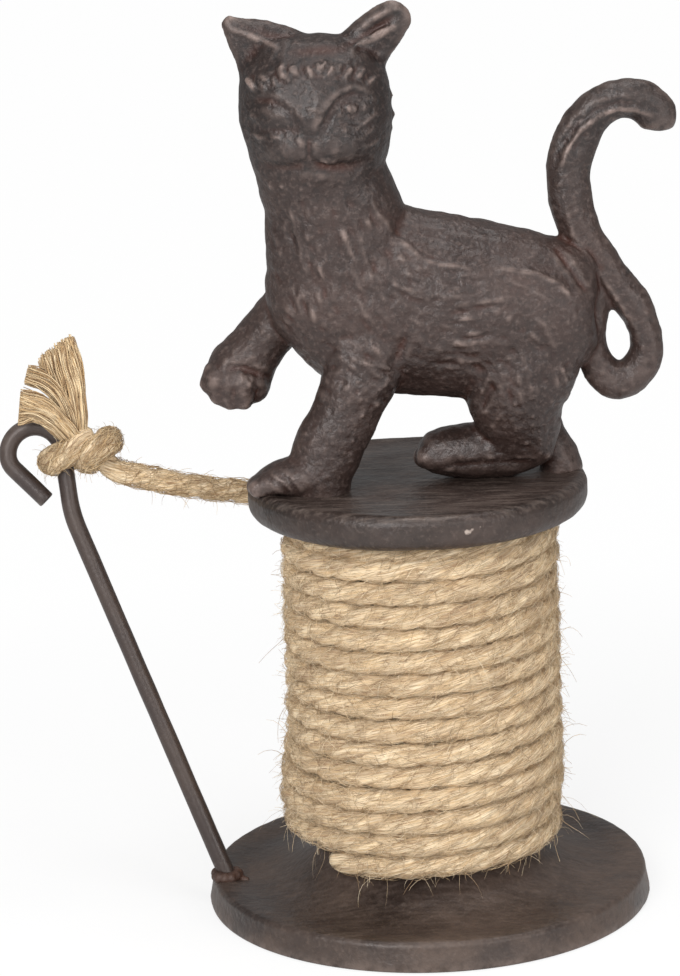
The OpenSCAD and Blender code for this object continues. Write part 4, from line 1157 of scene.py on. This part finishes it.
def sculpt_face(cat):
    cat.terrace(BROW, height=0.8, soft=3, fade=8)
    cat.swell(*NOSE_BRIDGE)
    cat.press()
    for middle, size, height, tilt in FACE_FORMS:
        cat.swell(middle, size, height, tilt)
    cat.press()
    for line, width, depth in FACE_CREASES:
        cat.stroke(line, width, -depth, taper=0.4)
    # The near eye's engraved ring
    ring = [(NEAR_EYE[0] + EYE_RING[0] * math.cos(a), NEAR_EYE[1] + EYE_RING[1] * math.sin(a))
            for a in np.linspace(0, 2 * math.pi, 17)]
    cat.stroke(ring, width=0.55, height=-0.6, taper=0)
    cat.swell(NEAR_EYE, PUPIL, -0.2)
    cat.press()
    for line, width, height in FACE_RIDGES:
        cat.stroke(line, width, height, taper=0.8)
    # Tufts of the forehead stand up from the brows like short flames, and fan out over the far brow
    draw = random.Random(5)
    for k in range(BROW_TUFTS):
        x = TUFTS_LEFT + TUFTS_WIDE * (k + draw.uniform(-0.35, 0.35)) / (BROW_TUFTS - 1)
        level = TUFTS_HIGH - TUFTS_BOW * (x - TUFTS_MIDDLE) ** 2
        foot = np.array([x, level + draw.uniform(-0.8, 0.8)])
        way = foot - np.array(TUFTS_FROM)
        way = way / np.linalg.norm(way)
        long, lean = draw.uniform(2.6, 4.8), draw.uniform(-0.3, 0.3)
        bent = foot + way * long + np.array([way[1], -way[0]]) * lean * long
        middle = (foot + bent) / 2 + way * 0.1
        cat.stroke([foot, middle, bent], draw.uniform(0.45, 0.7), draw.uniform(0.5, 0.9), taper=0.7)
    cat.press()


# Rust that was never rubbed off: middle, size and tilt of a soft oval, how strong it shows
RUST_SPOTS = [
    ((-19.2, 107.7), (7, 1.3), 0, 1.0), ((-33.6, 113.2), (7, 1.2), -17, 0.7),
    ((-8.5, 111.5), (4, 1.2), 30, 0.8),
    ((-31.6, 96), (3.6, 1), -14, 0.7), ((-14.6, 95.2), (3.4, 1.2), 50, 0.4), ((-16, 79), (6, 1.2), 0, 0.4),
    ((35.4, 58), (3, 3), 0, 0.9), ((-29.7, 44), (3, 5), 20, 0.3), ((40.6, 50), (2, 7), 15, 0.5)]

# The way the fur lies, as lines on the sheet
FUR_WAYS = [
    [(-16.5, 65.9), (-15.1, 60.9), (-12, 54.9)], [(-12.5, 64.1), (-11.1, 58.3), (-9.6, 52.4)],
    [(-16, 59.3), (-13.7, 54.2), (-10.6, 47.4)], [(-23.6, 52.9), (-22.1, 47.8), (-19.8, 44.3)],
    [(-18.6, 53.5), (-17.1, 49.3), (-14, 44.1)], [(-13.8, 49.2), (-11.5, 44.9), (-8.3, 41.4)],
    [(-25.4, 48.7), (-23.1, 43.6), (-18.3, 40.1)], [(-9, 72), (-8, 69), (-4, 64)],
    [(-28, 72), (-27, 64), (-25, 55)],
    [(-3.6, 60.5), (-1.3, 56.2), (4.4, 54.3)], [(0.3, 55.3), (6.9, 53.4), (13.4, 52.8)],
    [(3.5, 51.9), (10.1, 49.9), (15, 49.8)], [(5, 46.8), (11.7, 48.2), (18.2, 48)],
    [(9.9, 45.8), (17.4, 46.3), (26.5, 47.7)], [(14.8, 43), (21.5, 44.5), (28.1, 45.1)],
    [(-1, 39.4), (3.1, 35.9), (9.7, 34.8)], [(-0.2, 36), (6.3, 33.2), (12.9, 33)],
    [(4.8, 37.5), (12.2, 36.4), (18, 37.9)], [(26, 44), (31, 40), (34, 33)], [(24, 36), (27, 28), (27, 20)],
    [(-7.5, 65.6), (2.1, 57.8), (12.6, 54.5), (29.9, 52.6)],
]

# The long rubbed ridges below the spine, the darker furrow above them, the fold behind the foreleg,
# and the tail's ridges and furrow: line, width, height
BODY_RIDGES = [
    ([(-5.8, 68.9), (0.6, 64.5), (8.7, 61.5), (18.5, 58.6), (26.7, 56.7), (34.8, 53.6), (39, 48)], 1.8, -0.6),
    ([(-7.5, 65.6), (-2.7, 62.1), (2.1, 57.8), (6.9, 55.5), (12.6, 54.5), (18.4, 53.4)], 1.2, 0.65),
    ([(18.4, 54.7), (25, 53.6), (29.9, 52.6), (34.8, 49.9), (37.6, 45.6)], 1.2, 0.7),
    ([(21.6, 52), (27.3, 49.3), (33, 45.7)], 0.8, 0.3),
    ([(-1.8, 39.5), (-3.6, 34.5), (-6.2, 29)], 1.4, -0.9),
    ([(36, 77.9), (37.8, 82.9), (41, 87.4), (44.9, 90.4), (49.6, 92.3), (54.2, 92.1), (58.8, 90.2)],
     0.7, 0.5),
    ([(34.7, 79.5), (36.7, 84.8), (40.3, 89.4), (45, 92.7), (50.4, 94), (56.5, 92.6)], 0.9, -0.4),
    ([(37.6, 70), (38.6, 62.9), (41.3, 58.4), (44.7, 53.2), (48.5, 47.5), (52.3, 41.7), (54.2, 36.1)],
     0.8, 0.45)]

# Creases of toes, wrist, elbow and heel: line, width, depth
LIMB_CREASES = [
    ([(-36.6, 6.2), (-33.4, 3.8), (-31, 1.2)], 0.5, 0.55),
    ([(-34.4, 6.8), (-31.4, 5), (-28.9, 1.2)], 0.5, 0.5),
    ([(-45.5, 33), (-41.5, 33.2), (-38.1, 31.7), (-34.4, 30.2)], 0.9, 0.8),
    ([(-37.4, 28.4), (-38.4, 25.5), (-39.6, 22.6)], 0.7, 0.6),
    ([(-43.4, 29), (-44, 26), (-44.6, 23)], 0.6, 0.3),
    ([(3.9, 6.4), (12.3, 7), (20.6, 7.2), (28.9, 6.9)], 0.9, 0.6),
    ([(18.6, 26.8), (16.8, 23.5), (15.6, 20.2)], 1.0, 0.6),
    ([(34.1, 59.5), (38.4, 53.1), (41.4, 47.9)], 0.9, 0.7)]

# Where short hairs lie on the legs and the tail: left, right, low, high on the sheet, how many
LEG_FUR = [
    (-28, -2, 6, 34, 190), (12, 38, 8, 34, 170), (-50, -32, 20, 44, 110), (36, 62, 20, 62, 120),
    (34, 50, 60, 92, 80)]
BODY_HAIRS, HAIR_STEP, HAIR_SCATTER = 760, 1.4, 0.25


def fur_way(at):
    """The fur's direction at a point of the sheet."""
    total = np.zeros(2)
    for line in FUR_WAYS:
        for a, b in zip(line, line[1:]):
            a, b = np.array(a), np.array(b)
            gap = np.linalg.norm((a + b) / 2 - at)
            total += (b - a) / np.linalg.norm(b - a) / (gap + 1.0) ** 3
    return total / np.linalg.norm(total)


def bare_of_fur(at):
    """Above the back's line, and in the gap between the legs, there is no body to carry hairs."""
    return at[1] > 74 - 0.9 * (at[0] + 12) and at[0] > -12 or at[1] < 30 and -22 < at[0] < 16


def sculpt_fur(cat):
    draw = random.Random(77)
    for far in (False, True):
        for line, width, height in BODY_RIDGES:
            cat.stroke(line, width, height, far, taper=0.4)
        for line in FUR_WAYS[:-1]:
            cat.stroke(line, 0.9, 0.36, far, taper=0.8)
        for _ in range(BODY_HAIRS):
            at = np.array([draw.uniform(-33, 40), draw.uniform(24, 74)])
            if bare_of_fur(at):
                continue
            line = [at]
            for _ in range(draw.randrange(2, 5)):
                on = line[-1] + fur_way(line[-1]) * HAIR_STEP
                line.append(on + np.array([draw.gauss(0, HAIR_SCATTER), draw.gauss(0, HAIR_SCATTER)]))
            width = draw.uniform(0.4, 0.8)
            height = draw.choice((-1, -1, 1)) * draw.uniform(0.12, 0.34)
            cat.stroke(line, width, height, far, taper=0.9)
    # Legs and tail carry short hairs, which run down them
    for left, right, low, high, count in LEG_FUR:
        for _ in range(count):
            at = np.array([draw.uniform(left, right), draw.uniform(low, high)])
            way = np.array([draw.gauss(0, 0.5), -HAIR_STEP])
            height = draw.choice((-1, 1)) * draw.uniform(0.12, 0.3)
            cat.stroke([at, at + way * draw.uniform(0.4, 1.1)], draw.uniform(0.4, 0.65), height, taper=0.9)
    for line, width, depth in LIMB_CREASES:
        cat.stroke(line, width, -depth, taper=0.4)
    cat.press()


def make_cat():
    lump_wide, lump_high, sand_wide, sand_high, sunk = 6, 0.35, 2.2, 0.16, 0.25
    bm = bmesh.new()
    for sides, rows in CAT_LIMBS.values():
        limb(bm, rows, sides)
    for one, two, radius in CAT_LUMPS:
        lump(bm, one, two, radius)
    bmesh.ops.translate(bm, vec=(0, 0, PLATE_TOP), verts=bm.verts)
    bmesh.ops.recalc_face_normals(bm, faces=bm.faces)
    mesh = remeshed("cat_casting", bm, voxel=0.56, smoothing=10)
    cat = Sculpt(mesh)
    sculpt_face(cat)
    sculpt_fur(cat)
    stains = sum(share * cat.oval(middle, size, tilt) for middle, size, tilt, share in RUST_SPOTS)
    mark_wear(mesh, rounds=4, gain=0.32, stains=stains)
    points = roughen(cat.points, cat.ways, lump_wide, lump_high, 1.0)
    points = roughen(points, cat.ways, sand_wide, sand_high, 6.0)
    # The feet stand flat on the plate, a hair's breadth into it
    points[:, 2] = np.maximum(points[:, 2], -sunk)
    put_points(mesh, (points + np.array([0, 0, PLATE_TOP])) * MM)
    show("cat_casting", mesh, IRON, "top", "cast_iron", "cat_figure")


make_cat()


# Hidden working pieces keep their solids and get their own finish
STEEL = turned_steel("turned_mild_steel")
NYLON = moulded_nylon("moulded_nylon")
BOARD = wound_board("wound_kraft_board")
BEECH = turned_beech("turned_beech")
for node, finish in (
        ("centre_post", STEEL), ("post_washer", STEEL), ("post_nut", STEEL), ("cat_screws", STEEL),
        ("thrust_washer", NYLON), ("spool_tube", BOARD), ("lower_bush", BEECH), ("upper_bush", BEECH)):
    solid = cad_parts[node].data
    solid.materials.clear()
    solid.materials.append(finish)


# Studio: a pale floor, soft light from the front, and white behind.
# Lamps: place and size in metres, power in watts
LAMPS = (("key", (-0.4, -0.95, 0.6), 0.6, 11.0), ("fill", (0.7, -0.85, 0.4), 0.6, 4.5),
         ("top", (0.1, -0.1, 0.95), 0.5, 3.6))
LAMP_AIM, FLOOR_HALF = Vector((0, 0, 0.11)), 5000
SHADOW_NEAR, SHADOW_FAR, WHITE_NEAR, WHITE_FAR = 0.08, 0.3, 0.78, 0.985
WORLD_LIGHT, WORLD_SEEN, WORLD_MIRRORED = 0.33, 1.0, 0.12


def set_studio():
    scene = bpy.context.scene
    scene.view_settings.view_transform = "Standard"
    bm = bmesh.new()
    bmesh.ops.create_grid(bm, x_segments=8, y_segments=8, size=FLOOR_HALF)
    floor = bpy.data.objects.new("floor", to_mesh("floor", bm))
    scene.collection.objects.link(floor)
    made, tree, shader = new_material("pale_floor", roughness=0.9, specular_ior_level=0.1)
    shader.inputs["Base Color"].default_value = colour("#f4f4f4")
    # The eye sees a white sheet, which keeps the object's shadow near its foot
    place = add(tree, "ShaderNodeTexCoord").outputs["Object"]
    away = add(tree, "ShaderNodeVectorMath", {0: place}, operation="LENGTH").outputs["Value"]
    white_share = add(tree, "ShaderNodeMapRange", {
        "Value": away, "From Min": SHADOW_NEAR, "From Max": SHADOW_FAR, "To Min": WHITE_NEAR,
        "To Max": WHITE_FAR}).outputs[0]
    seen = add(tree, "ShaderNodeLightPath").outputs["Is Camera Ray"]
    share = add(tree, "ShaderNodeMath", {0: seen, 1: white_share}, operation="MULTIPLY").outputs[0]
    white = add(tree, "ShaderNodeEmission", {"Strength": 1.0, "Color": (1, 1, 1, 1)}).outputs[0]
    mixed = add(tree, "ShaderNodeMixShader", {0: share, 1: shader.outputs[0], 2: white}).outputs[0]
    tree.links.new(mixed, tree.nodes["Material Output"].inputs["Surface"])
    floor.data.materials.append(made)

    world = bpy.data.worlds.new("studio")
    world.use_nodes = True
    scene.world = world
    tree = world.node_tree
    path = add(tree, "ShaderNodeLightPath")
    mirrored = add(tree, "ShaderNodeMath", {
        0: path.outputs["Is Glossy Ray"], 1: WORLD_MIRRORED}, operation="MULTIPLY").outputs[0]
    shown = add(tree, "ShaderNodeMath", {
        0: path.outputs["Is Camera Ray"], 1: mirrored}, operation="MAXIMUM").outputs[0]
    level = add(tree, "ShaderNodeMapRange", {
        "Value": shown, "To Min": WORLD_LIGHT, "To Max": WORLD_SEEN}).outputs[0]
    ground = tree.nodes["Background"]
    ground.inputs["Color"].default_value = (1, 1, 1, 1)
    tree.links.new(level, ground.inputs["Strength"])

    for name, at, size, power in LAMPS:
        lamp = bpy.data.objects.new(name, bpy.data.lights.new(name, "AREA"))
        lamp.data.size, lamp.data.energy = size, power
        lamp.location = at
        lamp.rotation_euler = (LAMP_AIM - Vector(at)).to_track_quat("-Z", "Y").to_euler()
        scene.collection.objects.link(lamp)


set_studio()
